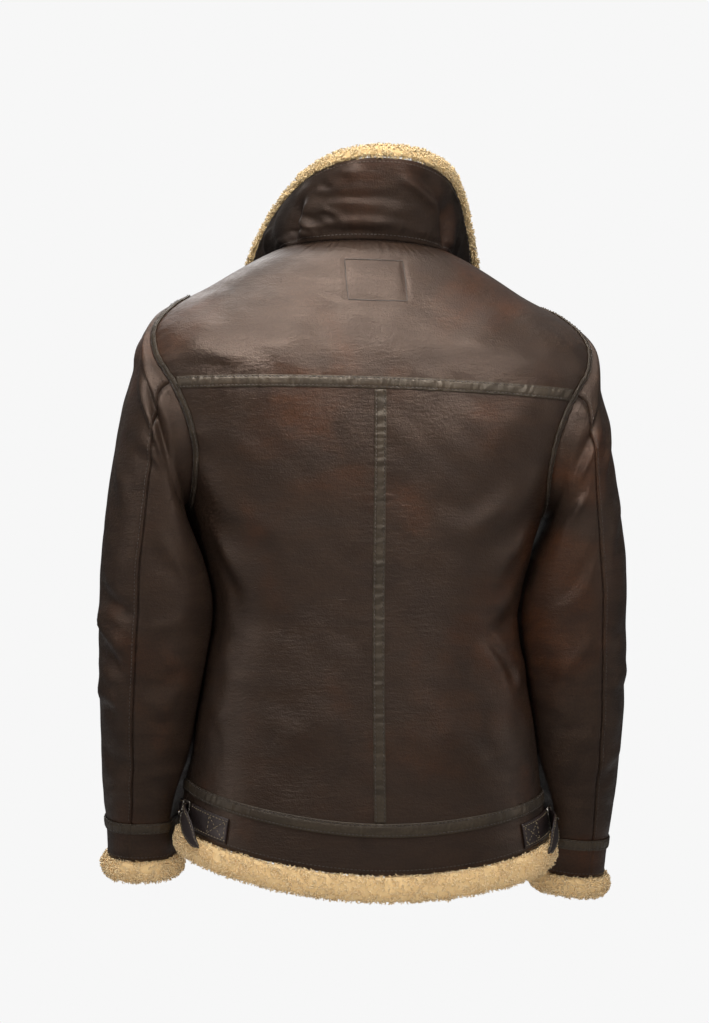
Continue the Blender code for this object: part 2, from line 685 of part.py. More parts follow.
def ribbon(name, path, half_widths, thickness, material, side):
    """Flat strap that follows a path of along, lift and drop over the hem band."""
    along = column(path, PATH_COLUMNS, "along")
    lift = column(path, PATH_COLUMNS, "lift")
    drop = column(path, PATH_COLUMNS, "drop")
    sections = np.stack([band_point(along, lift, drop + half_widths),
                         band_point(along, lift, drop - half_widths),
                         band_point(along, lift + thickness, drop - half_widths),
                         band_point(along, lift + thickness, drop + half_widths)], axis=1)
    section_solid(name, sections, material, side)


def wire(name, points, material, closed):
    """Round wire through the points."""
    curve = bpy.data.curves.new(name, "CURVE")
    curve.dimensions = "3D"
    curve.bevel_depth = WIRE_RADIUS
    curve.bevel_resolution = 1
    curve.use_fill_caps = True
    spline = curve.splines.new("POLY")
    spline.points.add(len(points) - 1)
    for point, target in zip(spline.points, points):
        point.co = (*target, 1.0)
    spline.use_cyclic_u = closed
    curve.materials.append(material)
    thing = bpy.data.objects.new(name, curve)
    bpy.context.collection.objects.link(thing)
    return thing


def build_adjuster(materials, side, word):
    """Base tab, strap, buckle frame and prong of one side adjuster."""
    leather, metal = materials["leather"], materials["metal"]
    tab_halves = np.full(len(TAB_PATH), TAB_HALF)
    ribbon(f"tab_{word}", TAB_PATH, tab_halves, STRAP_THICKNESS, leather, side)
    strap_halves = STRAP_HALF * np.array(STRAP_TAPER)
    ribbon(f"strap_{word}", STRAP_PATH, strap_halves, STRAP_THICKNESS, leather, side)
    frame = []
    corner = 0.003
    for sign_along, sign_drop, start in ((1, 1, 0), (-1, 1, 90), (-1, -1, 180), (1, -1, 270)):
        for step in range(3):
            turn = math.radians(start + 45 * step)
            along = sign_along * (BUCKLE_HALF_LENGTH - corner) + corner * math.cos(turn)
            drop = sign_drop * (BUCKLE_HALF_HEIGHT - corner) + corner * math.sin(turn)
            frame.append((along, drop))
    along, drop = np.array(frame).T
    tilt = 0.0016 * along / BUCKLE_HALF_LENGTH
    points = band_point(BUCKLE_AT + along, BUCKLE_LIFT - tilt, drop)
    wire(f"buckle_{word}", place(points, side), metal, True)
    reach = np.array([-0.0075, 0.0, 0.0065])
    lifts = np.array([0.0096, 0.0100, 0.0138])
    points = band_point(BUCKLE_AT + reach, lifts, np.zeros(3))
    wire(f"prong_{word}", place(points, side), metal, False)


# Front zip

def build_zip(materials):
    """Tapes behind the front edges, closed chain, slider and pull tab."""
    cloth, metal = materials["zip_cloth"], materials["metal"]
    levels = np.array([HEM_LEVEL, -0.606, -0.583] + LOWER_LEVELS
                      + list(arm_levels()[::-1]) + [-0.055, -0.045])
    back_lift = -(LEATHER_WALL + 2 * SEAM_GAP + ZIP_TAPE_THICKNESS)
    for side, word in ((1, "left"), (-1, "right")):
        near, far = narrow(levels, SEAM_GAP), narrow(levels, ZIP_TAPE_HALF)
        angles = 180 - np.stack([near, far], axis=1)
        grid = np.broadcast_to(levels[:, None], angles.shape)
        body_strip(f"zip_tape_{word}", angles, grid, back_lift, ZIP_TAPE_THICKNESS, cloth, side)
    half = narrow(levels, CHAIN_HALF)
    angles = np.stack([180 - half, 180 + half], axis=1)
    grid = np.broadcast_to(levels[:, None], angles.shape)
    lift = -(LEATHER_WALL + SEAM_GAP)
    body_strip("zip_chain", angles, grid, lift, CHAIN_THICKNESS, metal)
    build_slider(metal)


def build_slider(metal):
    """Slider in front of the top of the chain; the pull tab's eye sits between its lugs."""
    centre = body(180.0, SLIDER_LEVEL)
    out = body_normal(180.0, SLIDER_LEVEL)
    right = np.array([1.0, 0.0, 0.0])
    up = unit(np.cross(right, out))
    up = up if up[2] > 0 else -up
    face = SEAM_GAP + SLIDER_DEPTH
    ahead = face + PULL_GAP + EYE_RADIUS
    pivot = centre + out * ahead + up * PIVOT_RISE
    xs = [-SLIDER_HALF, -LUG_INSIDE, LUG_INSIDE, SLIDER_HALF]
    ys = [SEAM_GAP, face, ahead + EYE_RADIUS]
    zs = [-SLIDER_HALF_HEIGHT, PIVOT_RISE - LUG_HALF_HEIGHT, PIVOT_RISE + LUG_HALF_HEIGHT,
          SLIDER_HALF_HEIGHT]
    filled = np.zeros((3, 2, 3), bool)
    filled[:, 0, :] = True
    filled[[0, 2], 1, 1] = True
    axes = np.stack([right, out, up])
    cell_solid("zip_slider", xs, ys, zs, filled, centre, axes, metal)
    build_pull(pivot, axes, metal)
    print("pull hinge at", [round(float(v), 5) for v in place(pivot[None], 1)[0]])


def cell_solid(name, xs, ys, zs, filled, centre, axes, material):
    """Closed solid of the filled cells between cuts along three axes."""
    corners = {}
    faces = []

    def corner(i, j, k):
        key = (i, j, k)
        if key not in corners:
            corners[key] = (len(corners), centre + np.array([xs[i], ys[j], zs[k]]) @ axes)
        return corners[key][0]

    def is_filled(cell):
        inside = all(0 <= c < n for c, n in zip(cell, filled.shape))
        return inside and bool(filled[tuple(cell)])

    for cell in np.argwhere(filled):
        for axis in range(3):
            beside, beyond = (axis + 1) % 3, (axis + 2) % 3
            for step in (0, 1):
                neighbour = list(cell)
                neighbour[axis] += 1 if step else -1
                if is_filled(neighbour):
                    continue
                face = []
                for a, b in ((0, 0), (1, 0), (1, 1), (0, 1)):
                    place_at = list(cell)
                    place_at[axis] += step
                    place_at[beside] += a
                    place_at[beyond] += b
                    face.append(corner(*place_at))
                faces.append(face if step else face[::-1])
    points = place(np.array([point for _, point in corners.values()]), 1)
    mesh = bpy.data.meshes.new(name)
    mesh.from_pydata(points.tolist(), [], faces)
    return finish_mesh(name, mesh, material)


def build_pull(pivot, axes, metal):
    """Flat tab below a round eye that turns on the pivot."""
    start = math.asin(PULL_HALF_THICKNESS / EYE_RADIUS)
    turns = np.linspace(start, 2 * math.pi - start, EYE_SIDES + 1)
    section = [(EYE_RADIUS * math.sin(t), -EYE_RADIUS * math.cos(t)) for t in turns]
    halves = [EYE_HALF_WIDTH] * len(section)
    drops, widths = column(PULL, PULL_COLUMNS, "drop"), column(PULL, PULL_COLUMNS, "half_width")
    for drop, half in zip(drops, widths):
        section += [(PULL_HALF_THICKNESS, -drop), (-PULL_HALF_THICKNESS, -drop)]
        halves += [half, half]
    count = len(section)
    points = [pivot + np.array([way * half, y, z]) @ axes
              for way in (-1, 1) for half, (y, z) in zip(halves, section)]
    eye = EYE_SIDES + 1
    front = [0] + list(range(eye, count, 2))
    back = [eye - 1] + list(range(eye + 1, count, 2))
    outline = [(i, i + 1) for i in range(eye - 1)]
    outline += list(zip(back[:-1], back[1:])) + [(back[-1], front[-1])]
    outline += list(zip(front[1:][::-1], front[:-1][::-1]))
    faces = [(a, b, b + count, a + count) for a, b in outline]
    for base in (0, count):
        faces.append([base + i for i in range(eye)] + [base + back[1], base + front[1]])
        faces += [(base + f, base + g, base + d, base + c)
                  for f, g, d, c in zip(front[1:-1], front[2:], back[2:], back[1:-1])]
    mesh = bpy.data.meshes.new("zip_pull")
    mesh.from_pydata(place(np.array(points), 1).tolist(), [], faces)
    return finish_mesh("zip_pull", mesh, metal)


def main():
    """Build every piece of the jacket."""
    clear_scene()
    materials = {name: make_material(name) for name in COLOURS}
    build_body(materials)
    build_tapes(materials)
    for side, word in ((1, "left"), (-1, "right")):
        build_sleeve(materials, side, word)
        build_adjuster(materials, side, word)
    build_hem_fleece(materials["fleece"])
    build_collar(materials)
    build_zip(materials)


main()
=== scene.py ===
# %% [markdown]
# # Aviator jacket, worn and hollow, seen from behind
# The jacket is cut from a cloth with a dull brown leather face and a fleece back. Its body,
# sleeves and collar are three smooth surfaces, and every cut piece is a thin wall on one
# of them. The solids are kept in the frame file. Here each piece is made again on the same
# surfaces, finely enough to carry creases, puckers, stitches and curls of fleece. The solids
# that a finer piece stands for are hidden at the end.

# %% Load the frame
import math

import bpy
import numpy as np
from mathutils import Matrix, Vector


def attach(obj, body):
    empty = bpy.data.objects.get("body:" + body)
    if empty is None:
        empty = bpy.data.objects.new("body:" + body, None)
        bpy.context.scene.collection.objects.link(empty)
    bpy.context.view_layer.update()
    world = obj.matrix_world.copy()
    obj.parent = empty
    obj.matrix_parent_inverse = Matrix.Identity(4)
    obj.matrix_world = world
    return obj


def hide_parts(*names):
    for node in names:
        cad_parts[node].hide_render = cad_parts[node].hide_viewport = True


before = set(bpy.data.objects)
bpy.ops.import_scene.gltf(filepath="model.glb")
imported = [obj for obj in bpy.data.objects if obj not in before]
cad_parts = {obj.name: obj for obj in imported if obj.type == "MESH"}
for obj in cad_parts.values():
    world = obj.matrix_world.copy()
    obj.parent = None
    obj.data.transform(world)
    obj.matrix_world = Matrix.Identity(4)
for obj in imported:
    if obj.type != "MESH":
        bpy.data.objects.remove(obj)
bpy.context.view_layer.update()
JACKET = "jacket"
print("frame:", len(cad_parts), "nodes")

# %% [markdown]
# ## The three surfaces
# The body is a stack of rings from hem to neck, in metres. A place on it is an angle round
# the ring (0 at the centre back, 90 at the left side, 180 at the zip) and a level, which is
# the height of the ring's side. A sleeve is a stack of tilted rings from the armhole to the
# cuff. The collar fans out from the neck ring to its own edge. Tables with named columns
# set the rings, and a smooth curve runs through each column. The shape could be modelled by
# hand and subdivided, but pieces cut from one formula meet along their seams however finely
# each of them is divided, and a change to one ring reaches all of them.

# %% Walls, gaps and the stance
LEATHER_WALL = 0.003
COLLAR_WALL = 0.002
SEAM_GAP = 0.0003
LEAN = 0.028
SIDES = ((1, "left"), (-1, "right"))


# %% Curves through table columns


def column(table, names, name):
    """One named column of a table."""
    return np.array([row[names.index(name)] for row in table])


def smooth_curve(knots, values, at):
    """Cubic curve through the values, with slopes taken from the neighbours."""
    slopes = np.gradient(values, knots)
    at = np.clip(at, knots[0], knots[-1])
    i = np.clip(np.searchsorted(knots, at) - 1, 0, len(knots) - 2)
    span = knots[i + 1] - knots[i]
    t = (at - knots[i]) / span
    rise = values[i] * (2 * t**3 - 3 * t**2 + 1) + values[i + 1] * (3 * t**2 - 2 * t**3)
    bend = slopes[i] * (t**3 - 2 * t**2 + t) + slopes[i + 1] * (t**3 - t**2)
    return rise + span * bend


def unit(vectors):
    """Vectors scaled to length one."""
    return vectors / np.maximum(np.linalg.norm(vectors, axis=-1, keepdims=True), 1e-12)


def ease(x):
    """Smooth step from 0 to 1: three x squared less two x cubed."""
    x = np.clip(x, 0.0, 1.0)
    return x * x * (3 - 2 * x)


def mirrored(vectors, side):
    """Vectors of the left side, for the left (1) or the right (-1)."""
    return vectors * np.array([side, 1.0, 1.0])


def place(points, side):
    """Mirror to the left (1) or right (-1) and add the lean of the stance."""
    points = mirrored(points, side)
    lean = LEAN * points[..., 0]
    return points + np.stack([0 * lean, 0 * lean, lean], axis=-1)


# %% The body surface
RING_COLUMNS = ("level", "back_z", "front_z", "half_width", "back_y", "front_y", "square")
RINGS = [
    (-0.626, -0.663, -0.632, 0.1965, 0.127, -0.128, 2.40),
    (-0.583, -0.617, -0.590, 0.189, 0.121, -0.125, 2.40),
    (-0.520, -0.538, -0.525, 0.182, 0.113, -0.123, 2.40),
    (-0.455, -0.465, -0.460, 0.172, 0.108, -0.122, 2.45),
    (-0.392, -0.396, -0.395, 0.163, 0.107, -0.123, 2.50),
    (-0.325, -0.326, -0.328, 0.177, 0.111, -0.126, 2.60),
    (-0.280, -0.280, -0.285, 0.190, 0.116, -0.128, 2.75),
    (-0.240, -0.238, -0.250, 0.204, 0.120, -0.129, 2.90),
    (-0.187, -0.184, -0.208, 0.226, 0.123, -0.129, 3.00),
    (-0.160, -0.151, -0.190, 0.237, 0.123, -0.128, 3.00),
    (-0.125, -0.128, -0.170, 0.246, 0.121, -0.125, 2.90),
    (-0.092, -0.106, -0.150, 0.234, 0.117, -0.121, 2.70),
    (-0.070, -0.085, -0.132, 0.206, 0.111, -0.115, 2.50),
    (-0.050, -0.058, -0.114, 0.168, 0.103, -0.108, 2.30),
    (-0.033, -0.031, -0.098, 0.140, 0.094, -0.101, 2.20),
    (-0.018, -0.012, -0.086, 0.114, 0.083, -0.092, 2.10),
    (-0.006, 0.000, -0.075, 0.089, 0.070, -0.078, 2.00),
]
HEM_LEVEL = -0.626
HEM_SEAM_LEVEL = -0.583
YOKE_LEVEL = -0.160
NECK_LEVEL = -0.006
RING_LEVELS = column(RINGS, RING_COLUMNS, "level")
LEVEL_STEP = 1e-4
ANGLE_STEP = 0.05


def ring_value(name, level):
    """A column of the body's table at a level."""
    return smooth_curve(RING_LEVELS, column(RINGS, RING_COLUMNS, name), level)


def body(angle, level):
    """Point of the body: a rounded-square ring, tilted by its back and front heights."""
    angle, level = np.broadcast_arrays(np.asarray(angle, float), np.asarray(level, float))
    sine, cosine = np.sin(np.radians(angle)), np.cos(np.radians(angle))
    power = ring_value("square", level)
    reach = (np.abs(sine) ** power + np.abs(cosine) ** power) ** (-1 / power)
    behind = cosine > 0
    depth = np.where(behind, ring_value("back_y", level), -ring_value("front_y", level))
    centre_z = np.where(behind, ring_value("back_z", level), ring_value("front_z", level))
    x = ring_value("half_width", level) * reach * sine
    y = depth * reach * cosine
    z = level + (centre_z - level) * cosine**2
    return np.stack([x, y, z], axis=-1)


def body_normal(angle, level):
    """Outward direction of the body: across two small steps on the surface."""
    level = np.clip(level, HEM_LEVEL + LEVEL_STEP, NECK_LEVEL - LEVEL_STEP)
    up = body(angle, level + LEVEL_STEP) - body(angle, level - LEVEL_STEP)
    around = body(angle + ANGLE_STEP, level) - body(angle - ANGLE_STEP, level)
    return unit(np.cross(up, around))


# %% The armhole and the sleeve surface
ARM_TOP = -0.070
ARM_LOW = -0.280
ARM_MIDDLE = (ARM_TOP + ARM_LOW) / 2
ARM_RADIUS = (ARM_TOP - ARM_LOW) / 2
ARM_BACK_DEG = 36.0
ARM_FRONT_DEG = 34.0
ARM_SKEW = 0.15
METRES_PER_RADIAN = 0.2
YOKE_TURN = math.degrees(math.acos((YOKE_LEVEL - ARM_MIDDLE) / ARM_RADIUS))

SLEEVE_COLUMNS = ("out_x", "out_z", "in_x", "in_z", "mid_y", "half_y", "bow", "turn")
SLEEVE = [
    (0.206, -0.070, 0.190, -0.280, -0.002, 0.078, 0.016, 0.0),
    (0.224, -0.082, 0.197, -0.288, -0.001, 0.081, 0.014, 0.0),
    (0.2395, -0.117, 0.1930, -0.299, 0.000, 0.082, 0.011, -1.0),
    (0.252, -0.154, 0.187, -0.312, 0.000, 0.081, 0.009, -3.0),
    (0.2620, -0.190, 0.180, -0.328, 0.000, 0.079, 0.006, -6.0),
    (0.270, -0.237, 0.172, -0.347, -0.001, 0.076, 0.004, -10.0),
    (0.2770, -0.288, 0.165, -0.370, -0.002, 0.072, 0.002, -13.0),
    (0.283, -0.340, 0.162, -0.395, -0.004, 0.069, 0.001, -15.0),
    (0.2845, -0.390, 0.163, -0.420, -0.007, 0.066, 0.0, -16.0),
    (0.2845, -0.440, 0.167, -0.453, -0.012, 0.063, 0.0, -16.0),
    (0.284, -0.487, 0.172, -0.490, -0.020, 0.060, 0.0, -16.0),
    (0.2825, -0.527, 0.176, -0.527, -0.030, 0.057, 0.0, -16.0),
    (0.280, -0.567, 0.180, -0.565, -0.042, 0.053, 0.0, -16.0),
    (0.277, -0.603, 0.186, -0.599, -0.053, 0.050, 0.0, -16.0),
    (0.2745, -0.630, 0.193, -0.625, -0.062, 0.048, 0.0, -16.0),
    (0.2725, -0.666, 0.196, -0.661, -0.072, 0.046, 0.0, -16.0),
]
SLEEVE_ROWS = np.arange(len(SLEEVE), dtype=float)
CUFF_SEAM_ROW = 14
CUFF_EDGE_ROW = 15
SLEEVE_SQUARE = 2.2
CUFF_BACK_DROP = 0.006
DROP_ROW, DROP_ROWS = 8, 6
HANG = {1: -0.002, -1: 0.008}
HANG_ROW, HANG_ROWS = 5, 10
SLEEVE_CLEAR = 0.0020
HEM_CLEAR = 0.0135
HEM_NEAR = -0.530
HEM_NEAR_DEPTH = 0.070
PRESS_SOFTNESS = 0.0020
PRESS_LIMIT = 30
HEAD_ROWS = 3
HEAD_NORMAL_ROWS = 0.5
ROW_STEP = 0.01
TURN_STEP = 0.1


def arm_place(turn, grow=0.0):
    """Angle and level of a place on the armhole's oval, 0 at the top and 90 behind."""
    turn = np.asarray(turn, float)
    sine, cosine = np.sin(np.radians(turn)), np.cos(np.radians(turn))
    level = ARM_MIDDLE + (ARM_RADIUS + grow) * cosine
    width = np.where(sine > 0, ARM_BACK_DEG, ARM_FRONT_DEG)
    width = width + math.degrees(1) * grow / METRES_PER_RADIAN
    return 90 - width * sine * (1 - ARM_SKEW * cosine), level


def sleeve_value(name, row):
    """A column of the sleeve's table at a row."""
    return smooth_curve(SLEEVE_ROWS, column(SLEEVE, SLEEVE_COLUMNS, name), row)


def sleeve_ring(turn, row, side):
    """Rounded ring between its outer and inner points, before it meets the armhole."""
    turn = np.radians(turn + sleeve_value("turn", row))
    sine, cosine = np.sin(turn), np.cos(turn)
    reach = (np.abs(sine)**SLEEVE_SQUARE + np.abs(cosine)**SLEEVE_SQUARE) ** (-1 / SLEEVE_SQUARE)
    across = reach * cosine / 2
    out_x, in_x = sleeve_value("out_x", row), sleeve_value("in_x", row)
    out_z, in_z = sleeve_value("out_z", row), sleeve_value("in_z", row)
    drop = CUFF_BACK_DROP * ease((row - DROP_ROW) / DROP_ROWS)
    x = (out_x + in_x) / 2 + across * (out_x - in_x) + sleeve_value("bow", row) * sine**2
    y = sleeve_value("mid_y", row) + reach * sine * sleeve_value("half_y", row)
    z = (out_z + in_z) / 2 + across * (out_z - in_z) - drop * sine
    z = z - HANG[side] * ease((row - HANG_ROW) / HANG_ROWS)
    return np.stack([x, y, z], axis=-1)


def beside_body(points):
    """Width of the body's side at the depth and height of each point."""
    level = np.clip(points[..., 2], HEM_LEVEL, ARM_TOP)
    power = ring_value("square", level)
    depth = np.where(points[..., 1] > 0, ring_value("back_y", level),
                     -ring_value("front_y", level))
    inside = np.clip(1 - (np.abs(points[..., 1]) / depth) ** power, 0, 1)
    return ring_value("half_width", level) * inside ** (1 / power)


def sleeve(turn, row, side):
    """Sleeve point: its ring, led into the armhole, pushed out where it meets the body."""
    turn, row = np.broadcast_arrays(np.asarray(turn, float), np.asarray(row, float))
    miss = body(*arm_place(turn)) - sleeve_ring(turn, np.zeros_like(row), side)
    points = sleeve_ring(turn, row, side) + miss * (1 - ease(row / HEAD_ROWS))[..., None]
    low = ease((HEM_NEAR - points[..., 2]) / HEM_NEAR_DEPTH)
    clear = SLEEVE_CLEAR + (HEM_CLEAR - SLEEVE_CLEAR) * low
    press = (beside_body(points) + clear - points[..., 0]) / PRESS_SOFTNESS
    press = np.clip(press, -PRESS_LIMIT, PRESS_LIMIT)
    push = PRESS_SOFTNESS * np.logaddexp(0, press) * ease((row - 1) / 1.5)
    return points + push[..., None] * np.array([1.0, 0.0, 0.0])


def sleeve_normal(turn, row, side):
    """Outward direction of the sleeve, led into the body's own at the armhole."""
    above = np.maximum(row - ROW_STEP, 0)
    down = sleeve(turn, row + ROW_STEP, side) - sleeve(turn, above, side)
    around = sleeve(turn + TURN_STEP, row, side) - sleeve(turn - TURN_STEP, row, side)
    own = unit(np.cross(down, around))
    share = ease(row / HEAD_NORMAL_ROWS)[..., None]
    return unit(own * share + body_normal(*arm_place(turn)) * (1 - share) + own * 1e-6)


# %% The collar surface
COLLAR_COLUMNS = ("angle", "x", "y", "z", "bow")
COLLAR = [
    (0.0, 0.000, 0.091, 0.0850, 0.005),
    (20.0, 0.038, 0.084, 0.0815, 0.005),
    (40.0, 0.070, 0.055, 0.070, 0.005),
    (60.0, 0.091, 0.004, 0.052, 0.004),
    (80.0, 0.106, -0.048, 0.030, 0.003),
    (100.0, 0.117, -0.086, 0.004, 0.001),
    (120.0, 0.123, -0.114, -0.026, 0.0),
    (140.0, 0.118, -0.134, -0.056, 0.0),
    (158.0, 0.100, -0.146, -0.078, 0.0),
]
COLLAR_SHIFT = -0.010
COLLAR_ANGLES = column(COLLAR, COLLAR_COLUMNS, "angle")
COLLAR_RISE_STEP = 0.005
COLLAR_ANGLE_STEP = 0.2
NECK_BLEND = 0.12


def collar_value(name, angle):
    """A collar column, mirrored for the right side."""
    both = np.concatenate([-COLLAR_ANGLES[:0:-1], COLLAR_ANGLES])
    values = column(COLLAR, COLLAR_COLUMNS, name)
    sign = -1.0 if name == "x" else 1.0
    return smooth_curve(both, np.concatenate([sign * values[:0:-1], values]), angle)


def collar(angle, rise):
    """Straight from the neck seam (rise 0) to the edge (rise 1), bowed outwards."""
    angle, rise = np.broadcast_arrays(np.asarray(angle, float), np.asarray(rise, float))
    neck = body(angle, np.full_like(angle, NECK_LEVEL))
    edge = np.stack([collar_value(name, angle) for name in "xyz"], axis=-1)
    hump = (4 * rise * (1 - rise))[..., None]
    out = np.stack([np.sin(np.radians(angle)), np.cos(np.radians(angle)), 0 * angle], axis=-1)
    bow = out * collar_value("bow", angle)[..., None]
    shift = rise[..., None] ** 2 * np.array([COLLAR_SHIFT, 0.0, 0.0])
    return neck + (edge - neck) * rise[..., None] + bow * hump + shift


def collar_frame(angle, rise):
    """The collar's outward (leather side) direction and the direction to its edge."""
    along = unit(collar(angle, rise + COLLAR_RISE_STEP)
                 - collar(angle, rise - COLLAR_RISE_STEP))
    around = (collar(angle + COLLAR_ANGLE_STEP, rise)
              - collar(angle - COLLAR_ANGLE_STEP, rise))
    return unit(np.cross(along, around)), along


def collar_normal(angle, rise):
    """Outward direction of the collar, led into the body's own at the neck seam."""
    own = collar_frame(angle, rise)[0]
    share = ease(rise / NECK_BLEND)[..., None]
    return unit(own * share + body_normal(angle, np.full_like(rise, NECK_LEVEL)) * (1 - share))


print("armhole from level", ARM_LOW, "to", ARM_TOP, "with the yoke seam at turn", round(YOKE_TURN))

# %% [markdown]
# ## Meshes from grids
# Each piece is a grid of points, rows by columns, turned into quads. A grid knows which way
# is out, so its faces are turned to agree. Solidify then gives the cloth its thickness,
# with fleece as the second material on the inner side. A modifier is used for the wall
# because it closes the edges too, and the outer face stays where the formula puts it.

# %% Grid meshes and walls
def grid_faces(rows, columns, wrap=False, close=False):
    """Quads over points stored row by row. wrap joins the last column to the first, and
    close joins the last row to the first."""
    start = np.arange(rows if close else rows - 1)[:, None] * columns
    below = (start + columns) % (rows * columns)
    here = np.arange(columns if wrap else columns - 1)
    following = (here + 1) % columns
    quads = [start + here, start + following, below + following, below + here]
    return np.stack(quads, axis=-1).reshape(-1, 4)


def add_piece(name, mesh, materials):
    """Object in the scene for a finished mesh, at the origin."""
    for material in materials:
        mesh.materials.append(material)
    thing = bpy.data.objects.new(name, mesh)
    bpy.context.scene.collection.objects.link(thing)
    return thing


def mesh_from_lists(name, points, faces, materials):
    """Smooth mesh whose faces may have different corner counts."""
    mesh = bpy.data.meshes.new(name)
    mesh.from_pydata(points.tolist(), [], faces)
    mesh.shade_smooth()
    return add_piece(name, mesh, materials)


def mesh_object(name, points, faces, materials, smooth=True):
    """Mesh from arrays of points and of faces with equal corner counts."""
    mesh = bpy.data.meshes.new(name)
    corners = faces.shape[1]
    mesh.vertices.add(len(points))
    mesh.vertices.foreach_set("co", np.asarray(points, np.float32).ravel())
    mesh.loops.add(faces.size)
    mesh.loops.foreach_set("vertex_index", faces.astype(np.int32).ravel())
    mesh.polygons.add(len(faces))
    mesh.polygons.foreach_set("loop_start", np.arange(len(faces), dtype=np.int32) * corners)
    mesh.polygons.foreach_set("use_smooth", np.full(len(faces), smooth))
    mesh.update(calc_edges=True)
    mesh.validate()
    return add_piece(name, mesh, materials)


def outward(points, faces, normals):
    """Turn all faces round if they point against the given normals."""
    corner = points[faces]
    own = np.cross(corner[:, 1] - corner[:, 0], corner[:, 2] - corner[:, 0])
    agree = np.einsum("ij,ij->i", own, normals[faces[:, 0]]).sum()
    return faces if agree > 0 else faces[:, ::-1]


def add_uv(thing, across, along):
    """UV map in metres from one value per point."""
    layer = thing.data.uv_layers.new(name="cut")
    corners = np.zeros(len(thing.data.loops), np.int32)
    thing.data.loops.foreach_get("vertex_index", corners)
    uv = np.stack([across.ravel()[corners], along.ravel()[corners]], axis=-1)
    layer.data.foreach_set("uv", uv.astype(np.float32).ravel())


def arc_lengths(grid, axis):
    """Distance along one axis of a grid of points, from its start."""
    steps = np.linalg.norm(np.diff(grid, axis=axis), axis=-1)
    lengths = np.cumsum(steps, axis=axis)
    pad = [(1, 0), (0, 0)] if axis == 0 else [(0, 0), (1, 0)]
    return np.pad(lengths, pad)


def solidify(thing, thickness, lining=False):
    """Give a shell its thickness on the inner side."""
    wall = thing.modifiers.new("wall", "SOLIDIFY")
    wall.thickness = thickness
    wall.offset = -1
    if lining:
        wall.material_offset = 1


def cut_piece(name, points, normals, materials, wall, wrap=False, lining=False):
    """Cloth wall on a grid, standing for the node of its own name and listed with the size of
    its flat cut: width of its widest row, length of its longest column, area of its cells."""
    rows, columns = points.shape[:2]
    faces = grid_faces(rows, columns, wrap)
    flat_points = points.reshape(-1, 3)
    faces = outward(flat_points, faces, normals.reshape(-1, 3))
    thing = mesh_object(name, flat_points, faces, materials)
    closed = np.concatenate([points, points[:, :1]], axis=1) if wrap else points
    across, along = arc_lengths(closed, 1), arc_lengths(closed, 0)
    add_uv(thing, across[:, :columns], along[:, :columns])
    solidify(thing, wall, lining)
    corner = flat_points[faces]
    area = np.linalg.norm(np.cross(corner[:, 2] - corner[:, 0], corner[:, 3] - corner[:, 1]),
                          axis=-1).sum() / 2
    width, length = float(across[:, -1].max()), float(along[-1].max())
    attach(thing, JACKET)
    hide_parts(name)
    cuts.append((name, width, length, float(area)))
    return thing


cuts = []

# %% [markdown]
# ## Finishes
# The leather face is mottled: a taupe brown with redder and darker clouds, a very fine grain
# and a soft gloss. Two effects are shared by leather, tapes and straps, so each is a node
# group: the clouds of colour and the grain. They read Object coordinates, in metres, so
# patterns keep their true size on every piece and run on across a seam. A picture of leather
# would need each cut piece unwrapped. Gloss and sheen stay plain values in each material.

# %% Node helpers
def add_node(tree, kind, inputs=(), **settings):
    """Add a node, set its own settings, then set or link its inputs."""
    node = tree.nodes.new(kind)
    for name, value in settings.items():
        setattr(node, name, value)
    for socket, value in dict(inputs).items():
        if isinstance(value, bpy.types.NodeSocket):
            tree.links.new(value, node.inputs[socket])
        else:
            node.inputs[socket].default_value = value
    return node


def new_group(name, inputs, outputs):
    """Empty node group with named inputs (name, kind, default) and outputs."""
    tree = bpy.data.node_groups.new(name, "ShaderNodeTree")
    for label, kind, value in inputs:
        socket = tree.interface.new_socket(label, in_out="INPUT", socket_type=kind)
        if value is not None:
            socket.default_value = value
    for label, kind in outputs:
        tree.interface.new_socket(label, in_out="OUTPUT", socket_type=kind)
    start, end = tree.nodes.new("NodeGroupInput"), tree.nodes.new("NodeGroupOutput")
    return tree, start, end


def multiply(tree, a, b):
    """Product of two values or sockets."""
    return add_node(tree, "ShaderNodeMath", {0: a, 1: b}, operation="MULTIPLY").outputs[0]


def add_values(tree, a, b):
    """Sum of two values or sockets."""
    return add_node(tree, "ShaderNodeMath", {0: a, 1: b}, operation="ADD").outputs[0]


def on_piece(tree):
    """Place on the piece in metres."""
    return add_node(tree, "ShaderNodeTexCoord").outputs["Object"]


def stretched(tree, where, share):
    """Places whose patterns are drawn out round the body, to one over the share."""
    return add_node(tree, "ShaderNodeMapping", {"Vector": where,
                                                "Scale": (share, share, 1.0)}).outputs[0]


def bumped(tree, height, strength, distance):
    """Normal of a surface with a fine relief: strength as a share of a distance in metres."""
    return add_node(tree, "ShaderNodeBump", {"Height": height, "Strength": strength,
                                             "Distance": distance}).outputs[0]


def noise(tree, where, scale, detail=3.0, distortion=0.0):
    """Noise from 0 to 1 at a scale per metre."""
    inputs = {"Vector": where, "Scale": scale, "Detail": detail, "Distortion": distortion}
    return add_node(tree, "ShaderNodeTexNoise", inputs).outputs["Fac"]


def spread(tree, value, low, high):
    """Stretch a value so that low becomes 0 and high becomes 1, smoothly."""
    inputs = {"Value": value, "From Min": low, "From Max": high}
    return add_node(tree, "ShaderNodeMapRange", inputs,
                    interpolation_type="SMOOTHSTEP").outputs[0]


def mix_colours(tree, share, a, b):
    """Colour a where the share is 0, colour b where it is 1."""
    node = add_node(tree, "ShaderNodeMix", {0: share}, data_type="RGBA")
    for socket, value in ((node.inputs[6], a), (node.inputs[7], b)):
        if isinstance(value, bpy.types.NodeSocket):
            tree.links.new(value, socket)
        else:
            socket.default_value = value
    return node.outputs[2]


